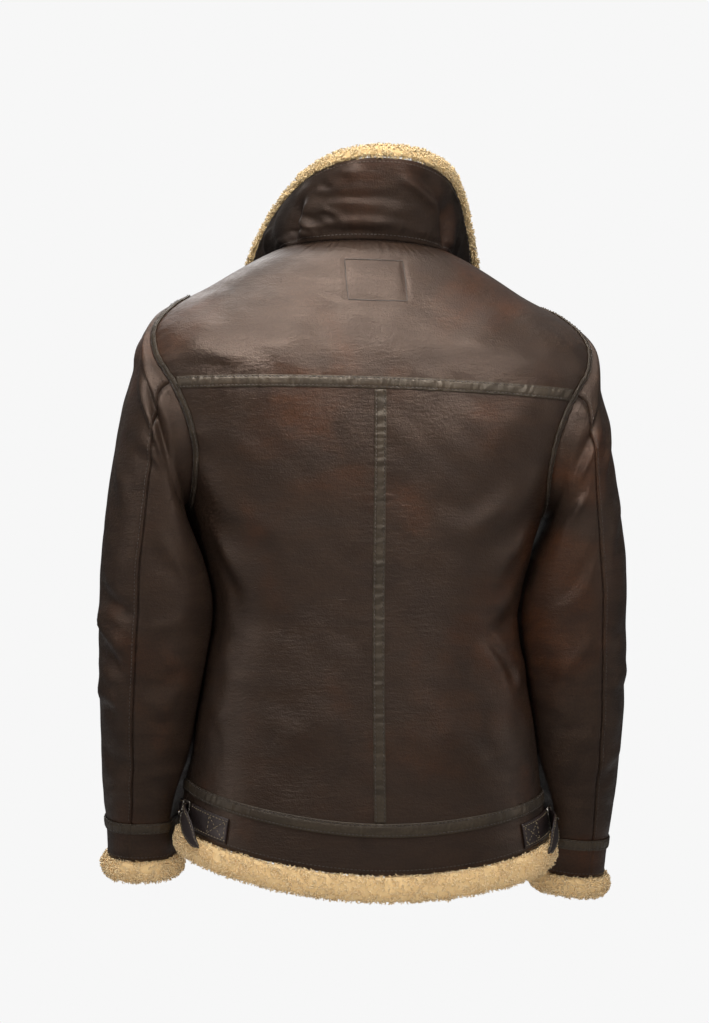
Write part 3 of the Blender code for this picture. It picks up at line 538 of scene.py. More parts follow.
# %% Clouded colour, shared by leather and tapes
def clouded_colour_group():
    """Large warm clouds and smaller dark clouds over a base colour, then a mottle and a fine
    speckle of the dark. Rubbed is the mottle, for the roughness."""
    tree, start, end = new_group("clouded colour", [
        ("Vector", "NodeSocketVector", None), ("Base", "NodeSocketColor", (0.05, 0.03, 0.02, 1)),
        ("Warm", "NodeSocketColor", (0.08, 0.03, 0.01, 1)),
        ("Dark", "NodeSocketColor", (0.01, 0.01, 0.01, 1)),
        ("Cloud Scale", "NodeSocketFloat", 7.0)], [("Color", "NodeSocketColor"),
                                                   ("Rubbed", "NodeSocketFloat")])
    where, scale = start.outputs["Vector"], start.outputs["Cloud Scale"]
    warm = spread(tree, noise(tree, where, scale, 4.0, 0.6), 0.50, 0.70)
    wide = multiply(tree, scale, 2.7)
    dark = spread(tree, noise(tree, where, wide, 5.0, 1.0), 0.52, 0.75)
    speckle = spread(tree, noise(tree, where, 420.0, 2.0), 0.35, 0.68)
    mottle = spread(tree, noise(tree, stretched(tree, where, 0.3), 70.0, 5.0, 0.5), 0.32, 0.70)
    colour = mix_colours(tree, multiply(tree, warm, 0.75), start.outputs["Base"],
                         start.outputs["Warm"])
    colour = mix_colours(tree, multiply(tree, dark, 0.55), colour, start.outputs["Dark"])
    colour = mix_colours(tree, multiply(tree, mottle, 0.50), colour, start.outputs["Dark"])
    colour = mix_colours(tree, multiply(tree, speckle, 0.42), colour, start.outputs["Dark"])
    tree.links.new(colour, end.inputs["Color"])
    tree.links.new(mottle, end.inputs["Rubbed"])
    return tree


# %% Fine grain, shared by leather and tapes
def grain_group():
    """Height of a brushed face: fine pebbles under streaks that run round the body. Nap is
    a finer pattern, for breaking up the gloss."""
    tree, start, end = new_group("fine grain", [
        ("Vector", "NodeSocketVector", None), ("Pebble Scale", "NodeSocketFloat", 620.0),
        ("Streak", "NodeSocketFloat", 0.6)], [("Height", "NodeSocketFloat"),
                                              ("Nap", "NodeSocketFloat")])
    where = start.outputs["Vector"]
    pebble = noise(tree, where, start.outputs["Pebble Scale"], 3.0)
    soft = noise(tree, where, 190.0, 4.0, 0.3)
    streak = noise(tree, stretched(tree, where, 0.25), 330.0, 4.0, 0.2)
    height = add_values(tree, multiply(tree, pebble, 0.8), multiply(tree, soft, 0.6))
    height = add_values(tree, height, multiply(tree, streak, start.outputs["Streak"]))
    nap = spread(tree, noise(tree, stretched(tree, where, 0.4), 520.0, 4.0, 0.3), 0.30, 0.70)
    tree.links.new(height, end.inputs["Height"])
    tree.links.new(nap, end.inputs["Nap"])
    return tree


CLOUDS = clouded_colour_group()
GRAIN = grain_group()


# %% Leather, tape and strap finishes
RUB = (-0.10, 0.03)
NAP_ROUGHNESS = 0.11
# Painted shade: the near-black colour and duller face of the collar's wings.
PAINTED_SHADE_COLOUR = (0.0016, 0.0013, 0.0012, 1)
SHADE_ROUGHNESS = 0.45
GRAIN_HEIGHT = 0.0006
COAT_ROUGHNESS = 0.3


def new_material(name):
    """Material with its node tree and Principled shader at hand."""
    material = bpy.data.materials.new(name)
    material.use_nodes = True
    tree = material.node_tree
    return material, tree, tree.nodes["Principled BSDF"]


def leather_finish(name, base, warm, dark, clouds, roughness, streak, relief, gloss,
                   coat=0.0, shine=0.5, shaded=False):
    """Mottled leather face: clouded colour, grain bump, roughness broken up by its nap.
    Where a shaded piece's attribute "shade" is 0, the face is nearly black and dull: painted
    shade."""
    material, tree, shader = new_material(name)
    where = on_piece(tree)
    colour = add_node(tree, "ShaderNodeGroup", node_tree=CLOUDS)
    grain = add_node(tree, "ShaderNodeGroup", node_tree=GRAIN)
    tree.links.new(where, colour.inputs["Vector"])
    tree.links.new(where, grain.inputs["Vector"])
    grain.inputs["Streak"].default_value = streak
    for socket, value in (("Base", base), ("Warm", warm), ("Dark", dark),
                          ("Cloud Scale", clouds)):
        colour.inputs[socket].default_value = value
    rubbed = add_node(tree, "ShaderNodeMapRange", {"Value": colour.outputs["Rubbed"],
                                                   "To Min": roughness + RUB[0],
                                                   "To Max": roughness + RUB[1]}).outputs[0]
    rough = add_values(tree, rubbed, multiply(tree, grain.outputs["Nap"], NAP_ROUGHNESS))
    face = colour.outputs["Color"]
    # Painted shade: where the shade attribute is 0, the face is painted near black.
    if shaded:
        light = add_node(tree, "ShaderNodeAttribute", attribute_name="shade").outputs["Fac"]
        face = mix_colours(tree, light, PAINTED_SHADE_COLOUR, face)
        dull = add_node(tree, "ShaderNodeMath", {0: 1.0, 1: light}, operation="SUBTRACT")
        rough = add_values(tree, rough, multiply(tree, dull.outputs[0], SHADE_ROUGHNESS))
    tree.links.new(face, shader.inputs["Base Color"])
    tree.links.new(rough, shader.inputs["Roughness"])
    tree.links.new(bumped(tree, grain.outputs["Height"], relief, GRAIN_HEIGHT),
                   shader.inputs["Normal"])
    shader.inputs["Specular IOR Level"].default_value = shine
    shader.inputs["Specular Tint"].default_value = gloss
    shader.inputs["Coat Weight"].default_value = coat
    shader.inputs["Coat Roughness"].default_value = COAT_ROUGHNESS
    return material


RUSSET = (0.048, 0.0172, 0.0072, 1)
UMBER = (0.0072, 0.0046, 0.0037, 1)
WARM_GLOSS = (1.0, 0.76, 0.62, 1)
leather = leather_finish(
    "leather", base=(0.0235, 0.0136, 0.0088, 1), warm=RUSSET, dark=UMBER, clouds=8.0,
    roughness=0.39, streak=0.9, relief=0.75, gloss=WARM_GLOSS)
# Painted light: the sleeves and cuff bands get a lighter copy of the leather, with less gloss.
lit_sleeve_leather = leather_finish(
    "lit_sleeve_leather", base=(0.0270, 0.0160, 0.0106, 1), warm=RUSSET, dark=UMBER, clouds=8.0,
    roughness=0.44, streak=0.9, relief=0.75, gloss=WARM_GLOSS, shine=0.36)
# Painted shade: the collar gets a darker copy of the leather, with less gloss.
shaded_collar_leather = leather_finish(
    "shaded_collar_leather", base=(0.0175, 0.0108, 0.0075, 1), warm=(0.031, 0.0130, 0.0070, 1),
    dark=(0.0060, 0.0042, 0.0035, 1), clouds=9.0, roughness=0.43, streak=0.9, relief=0.70,
    gloss=WARM_GLOSS, shine=0.20, shaded=True)
tape_leather = leather_finish(
    "tape_leather", base=(0.038, 0.0275, 0.0180, 1), warm=(0.036, 0.022, 0.0130, 1),
    dark=(0.012, 0.0085, 0.0062, 1), clouds=14.0, roughness=0.42, streak=0.2, relief=0.35,
    gloss=(1.0, 0.86, 0.70, 1), coat=0.05)
strap_leather = leather_finish(
    "strap_leather", base=(0.018, 0.012, 0.0115, 1), warm=(0.025, 0.013, 0.011, 1),
    dark=(0.008, 0.006, 0.006, 1), clouds=20.0, roughness=0.40, streak=0.3, relief=0.4,
    gloss=(1.0, 0.85, 0.80, 1), coat=0.10)


# %% Fleece finishes
def fleece_finish(name, deep, pale):
    """Cream pile: each curl has its own tone; its root is painted darker, as shade."""
    material, tree, shader = new_material(name)
    where = on_piece(tree)
    curl = add_node(tree, "ShaderNodeAttribute", attribute_name="curl")
    parts = add_node(tree, "ShaderNodeSeparateColor", {"Color": curl.outputs["Color"]})
    clumps = spread(tree, noise(tree, where, 160.0, 3.0), 0.3, 0.7)
    share = add_values(tree, multiply(tree, parts.outputs[0], 0.45),
                       multiply(tree, parts.outputs[1], 0.45))
    share = add_values(tree, share, multiply(tree, clumps, 0.15))
    colour = mix_colours(tree, share, deep, pale)
    tree.links.new(colour, shader.inputs["Base Color"])
    tree.links.new(bumped(tree, noise(tree, where, 420.0, 4.0), 0.4, 0.001),
                   shader.inputs["Normal"])
    shader.inputs["Roughness"].default_value = 0.9
    shader.inputs["Sheen Weight"].default_value = 0.25
    shader.inputs["Sheen Tint"].default_value = (1.0, 0.93, 0.78, 1.0)
    return material


def fleece_back_finish():
    """The cloth's back pile, seen inside: curls as two sizes of bump, painted shade in the
    hollows.
    """
    material, tree, shader = new_material("fleece_back")
    where = on_piece(tree)
    nubs = add_node(tree, "ShaderNodeTexVoronoi", {"Vector": where, "Scale": 230.0},
                    feature="SMOOTH_F1").outputs["Distance"]
    height = add_values(tree, multiply(tree, nubs, -1.0), noise(tree, where, 500.0, 4.0))
    # Painted shade: darker in the hollows between the nubs.
    share = spread(tree, nubs, 0.15, 0.75)
    colour = mix_colours(tree, share, (0.74, 0.55, 0.30, 1), (0.40, 0.26, 0.12, 1))
    tree.links.new(colour, shader.inputs["Base Color"])
    tree.links.new(bumped(tree, height, 0.9, 0.0025), shader.inputs["Normal"])
    shader.inputs["Roughness"].default_value = 0.95
    return material


# %% Thread, metal and zip cloth finishes
def thread_finish(name, colour, pale):
    """Twisted thread: a fine slanting stripe of two tones."""
    material, tree, shader = new_material(name)
    where = on_piece(tree)
    twist = spread(tree, noise(tree, where, 1500.0, 1.0), 0.4, 0.6)
    tree.links.new(mix_colours(tree, twist, colour, pale), shader.inputs["Base Color"])
    shader.inputs["Roughness"].default_value = 0.6
    return material


def metal_finish(name, dark, bright, roughness):
    """Antique metal: brighter where it is rubbed, with small pits."""
    material, tree, shader = new_material(name)
    where = on_piece(tree)
    rub = spread(tree, noise(tree, where, 220.0, 4.0), 0.42, 0.62)
    pits = noise(tree, where, 900.0, 3.0)
    rough = add_node(tree, "ShaderNodeMapRange", {"Value": rub, "To Min": roughness + 0.1,
                                                  "To Max": roughness - 0.08})
    tree.links.new(mix_colours(tree, rub, dark, bright), shader.inputs["Base Color"])
    tree.links.new(rough.outputs[0], shader.inputs["Roughness"])
    tree.links.new(bumped(tree, pits, 0.25, 0.0003), shader.inputs["Normal"])
    shader.inputs["Metallic"].default_value = 1.0
    return material


def zip_cloth_finish():
    """Woven zip tape: ribs across the tape as bump."""
    material, tree, shader = new_material("zip_cloth")
    where = on_piece(tree)
    weave = add_node(tree, "ShaderNodeTexWave", {"Vector": where, "Scale": 260.0,
                                                 "Distortion": 1.0},
                     bands_direction="Z").outputs["Fac"]
    colour = mix_colours(tree, weave, (0.012, 0.009, 0.008, 1), (0.034, 0.026, 0.022, 1))
    tree.links.new(colour, shader.inputs["Base Color"])
    tree.links.new(bumped(tree, weave, 0.5, 0.0004), shader.inputs["Normal"])
    shader.inputs["Roughness"].default_value = 0.85
    return material


fleece = fleece_finish("fleece", (0.72, 0.485, 0.225, 1), (0.95, 0.735, 0.430, 1))
# Painted shade: the collar's fleece is a darker copy of the fleece.
collar_fleece = fleece_finish("collar_fleece", (0.37, 0.240, 0.098, 1),
                              (0.49, 0.370, 0.195, 1))
fleece_back = fleece_back_finish()
dark_thread = thread_finish("dark_thread", (0.030, 0.022, 0.018, 1), (0.060, 0.047, 0.038, 1))
tan_thread = thread_finish("tan_thread", (0.12, 0.09, 0.05, 1), (0.22, 0.17, 0.10, 1))
brass = metal_finish("antique_brass", (0.10, 0.085, 0.070, 1), (0.46, 0.42, 0.37, 1), 0.32)
zip_cloth = zip_cloth_finish()
print("finishes:", len(bpy.data.materials))

# %% [markdown]
# ## Folds, waves and puckers
# Worn cloth this thick has few folds: broad soft waves on the back, pressed creases where an
# arm bends, and short puckers where a seam draws it in. Each fold is listed in a
# table, with its two ends, its bend, its width and its height. A trough has a negative
# height. Waves are the mean of a few sine waves in chosen random directions, which never
# repeat. A cloth simulation would fold a body of its own choosing: placed folds lie where
# the real ones do, and they can be moved one at a time.

# %% Relief helpers
WAVE_COUNT = 9
FOLD_TAPER = 0.35
FOLD_WOBBLE = 0.25
TROUGH_SHARE, TROUGH_AWAY, TROUGH_WIDTH = 0.45, 1.8, 1.1
PUCKER_PITCH = 0.0093
PUCKER_SWING, PUCKER_SWING_PITCH = 1.3, 0.047
PUCKER_FADE_PITCH = 0.031


def bell(distance, width):
    """Bell curve: 1 at no distance, and small beyond the width."""
    return np.exp(-(distance / width) ** 2)


def waves(points, height, size, seed):
    """Uneven waves of a height: mean of sines in random directions, about size long."""
    chance = np.random.default_rng(seed)
    ways = unit(chance.normal(size=(WAVE_COUNT, 3)))
    lengths = size * chance.uniform(0.7, 1.6, WAVE_COUNT)
    starts = chance.uniform(0, 2 * math.pi, WAVE_COUNT)
    phases = points @ (ways / lengths[:, None]).T * 2 * math.pi + starts
    return height * (np.sin(phases).mean(axis=-1) * 2)


def folds(u, v, table, u_metres, v_metres):
    """Sum of folds: a ridge with a shallow trough beside it, tapered to both ends. The ends
    are in the surface's own units, the bend, width and height in metres."""
    total = np.zeros(np.broadcast(u, v).shape)
    for number, (u_a, v_a, u_b, v_b, bend, width, height) in enumerate(table):
        run = np.array([(u_b - u_a) * u_metres, (v_b - v_a) * v_metres])
        length = np.hypot(*run)
        ahead = run / length
        off_u, off_v = (u - u_a) * u_metres, (v - v_a) * v_metres
        along = (off_u * ahead[0] + off_v * ahead[1]) / length
        across = off_v * ahead[0] - off_u * ahead[1] - bend * 4 * along * (1 - along)
        across = across / (width * (1 + FOLD_WOBBLE * np.sin(7 * along + 2.1 * number)))
        taper = ease(along / FOLD_TAPER) * ease((1 - along) / FOLD_TAPER)
        trough = TROUGH_SHARE * bell(across - TROUGH_AWAY, TROUGH_WIDTH)
        total = total + height * taper * (np.exp(-across**2) - trough)
    return total


def puckers(distance, along, depth, reach, seed):
    """Short ripples that cross a seam and die away from it: a sine along the seam, in uneven
    step and strength, times a bell over the distance from it."""
    swing = np.sin(2 * math.pi * along / PUCKER_SWING_PITCH + seed) * PUCKER_SWING
    ripple = np.sin(2 * math.pi * along / PUCKER_PITCH + swing + seed)
    ripple = ripple * (0.6 + 0.4 * np.sin(2 * math.pi * along / PUCKER_FADE_PITCH + 2 * seed))
    return depth * ripple * bell(distance, reach)


# %% Folds of the body: angle in degrees, level in metres
DEG_METRES = 0.0033
BODY_FOLDS = [
    (62.0, -0.235, 22.0, -0.330, 0.010, 0.020, 0.0030),
    (66.0, -0.285, 34.0, -0.395, 0.012, 0.016, 0.0028),
    (58.0, -0.205, 30.0, -0.235, -0.004, 0.012, 0.0016),
    (-56.0, -0.225, -20.0, -0.320, -0.010, 0.019, 0.0030),
    (-62.0, -0.300, -36.0, -0.365, 0.006, 0.015, 0.0026),
    (-88.0, -0.395, -40.0, -0.408, 0.006, 0.011, -0.0036),
    (-90.0, -0.440, -50.0, -0.470, 0.008, 0.010, 0.0028),
    (-38.0, -0.405, -60.0, -0.470, -0.008, 0.010, -0.0026),
    (86.0, -0.430, 56.0, -0.415, -0.006, 0.011, -0.0026),
    (84.0, -0.480, 50.0, -0.505, 0.004, 0.014, 0.0024),
    (40.0, -0.520, 12.0, -0.470, 0.010, 0.022, 0.0022),
    (-12.0, -0.500, -40.0, -0.545, -0.008, 0.020, 0.0024),
    (50.0, -0.100, 30.0, -0.135, 0.004, 0.014, 0.0016),
    (-48.0, -0.098, -28.0, -0.130, -0.004, 0.015, 0.0016),
    (118.0, -0.240, 150.0, -0.345, 0.010, 0.017, 0.0032),
    (112.0, -0.300, 142.0, -0.400, 0.008, 0.014, 0.0028),
    (-116.0, -0.235, -152.0, -0.330, -0.010, 0.018, 0.0032),
    (-110.0, -0.310, -140.0, -0.405, -0.006, 0.013, 0.0026),
    (100.0, -0.455, 138.0, -0.440, 0.006, 0.012, -0.0030),
    (-98.0, -0.450, -136.0, -0.462, 0.007, 0.012, -0.0030),
    (104.0, -0.520, 150.0, -0.545, 0.010, 0.018, 0.0024),
    (-108.0, -0.525, -152.0, -0.505, 0.010, 0.017, 0.0024),
    (128.0, -0.110, 150.0, -0.165, 0.005, 0.013, 0.0020),
    (-126.0, -0.108, -150.0, -0.160, -0.005, 0.014, 0.0020),
]
SIDE_FOLDS = [
    (103.0, -0.215, 101.0, -0.400, 0.000, 0.021, 0.0066),
    (-101.0, -0.215, -100.0, -0.360, 0.000, 0.021, 0.0040),
    (101.0, -0.540, 100.0, -0.640, 0.000, 0.020, 0.0045),
]

# %% Relief of the body
OUTLINE_CORNERS = [(14.8, -0.026), (-12.5, -0.026), (-9.8, -0.055), (10.0, -0.055)]
OUTLINE_GROOVE = (-0.0010, 0.0022)
OUTLINE_RAISED = (0.0002, 0.006)
LEVEL_STRETCH = 1.35
WIDE_WAVES = (0.0013, 0.11, 3)
SMALL_WAVES = (0.0005, 0.035, 5)
SEAM_PUCKERS = {
    "yoke": (0.00055, 0.012, 1.0),
    "hem": (0.00045, 0.012, 2.0),
    "centre back": (0.0005, 0.011, 3.0),
    "armhole": (0.0006, 0.014, 4.0),
    "neck": (0.0006, 0.012, 5.0),
    "outline": (0.0003, 0.005, 6.0),
    "cuff": (0.0005, 0.01, 2.0),
    "collar roll": (0.0007, 0.010, 7.0),
    "collar edge": (0.0004, 0.008, 8.0),
}


def outline_distance(angle, level):
    """Distance out from the nearest of the four lines sewn through the yoke. It is negative
    inside them: the greatest of the distances from the four lines."""
    x = body(angle, level)[..., 0]
    corners = np.array([(body(a, b)[0], b) for a, b in OUTLINE_CORNERS])
    furthest = np.full(np.shape(x), -1.0)
    for start, end in zip(corners, np.roll(corners, -1, axis=0)):
        run = (end - start) * np.array([1.0, LEVEL_STRETCH])
        off_x, off_level = x - start[0], (level - start[1]) * LEVEL_STRETCH
        away = (off_level * run[0] - off_x * run[1]) / np.hypot(*run)
        furthest = np.maximum(furthest, -away)
    return furthest


def body_seam_puckers(angle, level, point, behind):
    """Puckers of the seams of the body: yoke, hem, centre back, armhole and neck."""
    across = angle * DEG_METRES
    yoke = puckers(np.abs(level - YOKE_LEVEL), point[..., 0], *SEAM_PUCKERS["yoke"]) * behind
    hem = puckers(np.abs(level - HEM_SEAM_LEVEL), across, *SEAM_PUCKERS["hem"])
    below = ease((YOKE_LEVEL - level) / 0.01)
    centre = puckers(np.abs(point[..., 0]), level, *SEAM_PUCKERS["centre back"])
    oval = np.hypot((90 - np.abs(angle)) / ARM_BACK_DEG, (level - ARM_MIDDLE) / ARM_RADIUS)
    turn = np.arctan2(90 - np.abs(angle), (level - ARM_MIDDLE) * 300) * 0.1
    arm = puckers((oval - 1) * ARM_RADIUS, turn, *SEAM_PUCKERS["armhole"])
    neck = puckers(level - NECK_LEVEL, across * 0.6, *SEAM_PUCKERS["neck"])
    return yoke, hem, centre * below * behind, arm, neck


def outline_relief(angle, level, point):
    """The rectangle sewn through the yoke: a groove, raised a little inside, puckered."""
    gap = outline_distance(angle, level)
    groove, groove_width = OUTLINE_GROOVE
    raised, raised_within = OUTLINE_RAISED
    outline = groove * bell(gap, groove_width) + raised * ease(-gap / raised_within)
    return outline + puckers(gap, point[..., 0] + level, *SEAM_PUCKERS["outline"])


def body_relief(angle, level):
    """Height of the cloth over the smooth body: folds, waves, puckers, stitched outline. It
    is calm near the hem and the neck, and under the arms, where the sleeves lie close."""
    point = body(angle, level)
    behind = np.abs(angle) < 90
    relief = folds(angle, level, BODY_FOLDS, DEG_METRES, 1.0)
    open_part = ease((level - HEM_SEAM_LEVEL) / 0.05) * ease((-0.02 - level) / 0.05)
    relief = relief * ease((level - HEM_LEVEL) / 0.06)
    under_arm = ease((np.abs(body_normal(angle, level)[..., 0]) - 0.75) / 0.2)
    calm = 1 - 0.8 * under_arm * ease((-0.25 - level) / 0.04)
    relief = relief * calm
    relief = relief + waves(point, *WIDE_WAVES) * open_part * calm
    relief = relief + waves(point, *SMALL_WAVES) * open_part
    for seam in body_seam_puckers(angle, level, point, behind):
        relief = relief + seam
    side = folds(angle, level, SIDE_FOLDS, DEG_METRES, 1.0)
    return relief + outline_relief(angle, level, point) * behind + side


def dressed_body(angle, level, lift=0.0, side=1):
    """Body point with its relief and a further lift, and its outward direction."""
    normal = body_normal(angle, level)
    height = body_relief(side * angle, level) + lift
    point = body(angle, level) + normal * height[..., None]
    return place(point, side), mirrored(normal, side)


# %% Folds of the sleeves: turn in degrees, row of the sleeve's table
TURN_METRES = 0.00165
ROW_METRES = 0.038
SLEEVE_FOLDS = {
    1: [
        (118.0, 2.30, 40.0, 1.75, 0.007, 0.0110, -0.0042),
        (116.0, 2.85, 34.0, 2.45, 0.007, 0.0120, 0.0044),
        (150.0, 1.75, 112.0, 2.10, 0.004, 0.0085, 0.0034),
        (152.0, 2.45, 114.0, 2.55, -0.003, 0.0080, -0.0034),
        (156.0, 3.05, 118.0, 3.00, 0.003, 0.0090, 0.0028),
        (100.0, 3.4, 50.0, 4.6, -0.005, 0.009, -0.0026),
        (10.0, 7.5, 88.0, 8.1, 0.005, 0.008, -0.0052),
        (14.0, 8.2, 80.0, 8.9, 0.004, 0.008, 0.0048),
        (8.0, 9.0, 76.0, 9.5, -0.004, 0.007, -0.0046),
        (12.0, 9.8, 70.0, 10.1, 0.003, 0.008, 0.0040),
        (84.0, 8.4, 140.0, 7.6, 0.005, 0.010, 0.0026),
        (86.0, 9.8, 138.0, 9.3, 0.004, 0.009, -0.0024),
        (90.0, 5.4, 140.0, 6.4, 0.006, 0.012, 0.0026),
        (20.0, 4.6, 72.0, 5.6, 0.005, 0.012, 0.0024),
        (30.0, 11.4, 92.0, 11.9, 0.004, 0.009, -0.0024),
        (96.0, 12.4, 40.0, 12.9, 0.004, 0.008, 0.0022),
    ],
    -1: [
        (126.0, 1.6, 60.0, 2.6, 0.005, 0.012, -0.0026),
        (120.0, 2.4, 54.0, 3.3, 0.005, 0.013, 0.0026),
        (134.0, 3.4, 92.0, 4.3, -0.004, 0.010, 0.0026),
        (20.0, 3.2, 76.0, 4.4, 0.006, 0.012, 0.0028),
        (24.0, 5.4, 80.0, 6.1, 0.004, 0.010, 0.0026),
        (88.0, 5.9, 138.0, 6.9, 0.005, 0.010, -0.0028),
        (18.0, 7.9, 84.0, 8.4, 0.004, 0.009, -0.0030),
        (90.0, 8.2, 142.0, 9.0, 0.005, 0.010, 0.0030),
        (20.0, 9.1, 76.0, 9.5, -0.004, 0.008, 0.0028),
        (88.0, 9.9, 140.0, 10.6, 0.004, 0.009, -0.0026),
        (30.0, 10.9, 96.0, 11.4, 0.004, 0.009, 0.0024),
        (84.0, 12.3, 30.0, 12.8, 0.003, 0.008, -0.0022),
    ],
}
INNER_ELBOW_FOLDS = [
    (226.0, 2.0, 300.0, 3.4, 0.006, 0.010, -0.0036),
    (232.0, 3.2, 306.0, 4.4, 0.005, 0.010, 0.0032),
    (236.0, 6.8, 312.0, 6.2, 0.005, 0.009, -0.0042),
    (234.0, 7.6, 318.0, 7.2, 0.004, 0.009, 0.0040),
    (230.0, 8.3, 310.0, 8.4, -0.004, 0.009, -0.0042),
    (238.0, 9.2, 312.0, 9.6, 0.004, 0.008, 0.0034),
    (236.0, 10.2, 300.0, 10.8, 0.004, 0.009, -0.0028),
    (250.0, 12.0, 318.0, 12.5, 0.003, 0.009, 0.0024),
]

# %% Relief of the sleeves
SIDE_RIDGE_TURN = 222.0
SIDE_RIDGE_DEG = 17.0
SIDE_RIDGE_HEIGHT = {1: 0.0055, -1: 0.0022}
SIDE_RIDGE_END_ROW = 13.6
SLEEVE_SEAM_PUCKER = (0.0007, 0.008)
SLEEVE_SEAM_GROOVE = (0.0010, 0.0018)
SLEEVE_WIDE_WAVES = (0.0012, 0.09, 11)
SLEEVE_SMALL_WAVES = (0.0005, 0.03, 12)
FACING_CALM = 0.85


def sleeve_relief(turn, row, side):
    """Height of the cloth over the smooth sleeve: folds, two sizes of waves, grooved and
    puckered seams. It is calm at the armhole and the cuff."""
    turn = np.mod(turn + 30, 360) - 30
    point = mirrored(sleeve(turn, row, side), side)
    relief = folds(turn, row, SLEEVE_FOLDS[side], TURN_METRES, ROW_METRES)
    relief = relief + folds(turn, row, INNER_ELBOW_FOLDS, TURN_METRES, ROW_METRES)
    free = ease(row / 0.8) * ease((CUFF_SEAM_ROW - row) / 0.8)
    relief = relief * free + waves(point, *SLEEVE_WIDE_WAVES) * free
    relief = relief + waves(point, *SLEEVE_SMALL_WAVES) * free
    along = row * ROW_METRES
    groove, groove_width = SLEEVE_SEAM_GROOVE
    for seam in (YOKE_TURN, 360 - YOKE_TURN):
        gap = np.abs(np.mod(turn - seam + 180, 360) - 180) * TURN_METRES
        relief = relief + puckers(gap, along, *SLEEVE_SEAM_PUCKER, 1.0 + seam) * free
        relief = relief - groove * bell(gap, groove_width) * ease(row / 0.3)
    around = turn * TURN_METRES
    cuff = puckers((row - CUFF_SEAM_ROW) * ROW_METRES, around, *SEAM_PUCKERS["cuff"])
    head = puckers(along, around, *SEAM_PUCKERS["armhole"])
    return relief + cuff + head


def dressed_sleeve(turn, row, side, lift=0.0):
    """Sleeve point with its relief, calmer where it faces the body, a soft ridge down its
    side and a further lift, and its outward direction."""
    normal = sleeve_normal(turn, row, side)
    facing = ease((-normal[..., 0] - 0.3) / 0.4)
    around = np.mod(turn, 360) - SIDE_RIDGE_TURN
    ridge = SIDE_RIDGE_HEIGHT[side] * bell(around, SIDE_RIDGE_DEG)
    ridge = ridge * ease((row - 0.3) / 1.4) * ease((SIDE_RIDGE_END_ROW - row) / 2.5)
    height = sleeve_relief(turn, row, side) * (1 - FACING_CALM * facing) + ridge + lift
    point = sleeve(turn, row, side) + normal * height[..., None]
    return place(point, side), mirrored(normal, side)


# %% Relief of the collar: angle in degrees, rise from 0 at the neck seam to 1
COLLAR_FOLD_METRES = 0.0016
COLLAR_RISE_METRES = 0.088
COLLAR_FOLDS = [
    (70.0, -0.05, 46.0, 0.86, 0.004, 0.0090, -0.0075),
    (-66.0, -0.05, -44.0, 0.82, -0.003, 0.0085, -0.0070),
    (82.0, 0.10, 64.0, 0.95, 0.004, 0.0120, 0.0030),
    (-80.0, 0.10, -62.0, 0.92, -0.004, 0.0120, 0.0030),
    (50.0, 0.64, -34.0, 0.54, 0.006, 0.0060, -0.0020),
    (50.0, 0.26, -24.0, 0.235, 0.002, 0.0046, 0.0026),
    (-10.0, 0.92, -56.0, 0.38, -0.004, 0.0055, -0.0034),
    (-6.0, 0.80, -44.0, 0.46, -0.003, 0.006, 0.0022),
    (50.0, 0.48, 30.0, 0.20, 0.002, 0.0035, -0.0028),
    (54.0, 0.42, 40.0, 0.18, 0.002, 0.0033, 0.0026),
    (38.0, 0.46, 18.0, 0.22, -0.002, 0.0035, 0.0024),
    (66.0, 0.36, 54.0, 0.12, 0.001, 0.0035, -0.0016),
    (36.0, 0.84, 27.0, 0.66, 0.002, 0.0034, -0.0026),
    (27.0, 0.95, 8.0, 0.80, 0.003, 0.0060, 0.0020),
    (78.0, 0.70, 110.0, 0.45, 0.004, 0.007, 0.0024),
    (-76.0, 0.72, -108.0, 0.42, 0.004, 0.007, 0.0024),
]
COLLAR_WAVES = ((0.0011, 0.045, 21), (0.0004, 0.018, 22))
COLLAR_SWELL, COLLAR_SWELL_RISE, COLLAR_SWELL_WIDTH = 0.0016, 0.17, 0.07
COLLAR_PUCKER_UP = 0.012


def collar_relief(angle, rise):
    """Height of the leather over the smooth collar, with a roll above the neck seam."""
    point = collar(angle, rise)
    relief = folds(angle, rise, COLLAR_FOLDS, COLLAR_FOLD_METRES, COLLAR_RISE_METRES)
    middle = ease(rise / NECK_BLEND) * ease((1 - rise) / 0.15)
    roll = COLLAR_SWELL * bell(rise - COLLAR_SWELL_RISE, COLLAR_SWELL_WIDTH)
    roll = roll * ease(rise / 0.08)
    along = angle * COLLAR_FOLD_METRES
    up = rise * COLLAR_RISE_METRES
    seam = puckers(up - COLLAR_PUCKER_UP, along, *SEAM_PUCKERS["collar roll"])
    seam = seam * ease(rise / 0.06)
    edge = puckers((1 - rise) * COLLAR_RISE_METRES, along, *SEAM_PUCKERS["collar edge"])
    soft = sum(waves(point, *row) for row in COLLAR_WAVES)
    return (relief + soft) * middle + roll + seam + edge * ease(rise / 0.3)


def dressed_collar(angle, rise, lift=0.0):
    """Collar point with its relief, and its outward direction."""
    normal = collar_normal(angle, rise)
    height = collar_relief(angle, rise) + lift
    return place(collar(angle, rise) + normal * height[..., None], 1), normal


print("folds placed:", len(BODY_FOLDS), "on the body,",
      sum(len(rows) for rows in SLEEVE_FOLDS.values()) + 2 * len(INNER_ELBOW_FOLDS),
      "on the sleeves,", len(COLLAR_FOLDS), "on the collar")

# %% [markdown]
# ## Cut pieces of the body
# The back is two lower panels joined down the middle and a yoke over the shoulders. The
# fronts run from hem seam to neck beside the zip. A band in three pieces closes the hem.
# Cutting the armhole with a Boolean would leave ragged faces at its edge, so each row of a
# panel ends on the armhole's oval instead, and the rows are closer where the oval turns.

# %% Edges shared by neighbouring pieces
CELL = 0.0042
YOKE_CELL = 0.0030
FRONT_CELL = 0.0060
PANEL_WIDTH = 0.25
YOKE_COLUMNS = 160


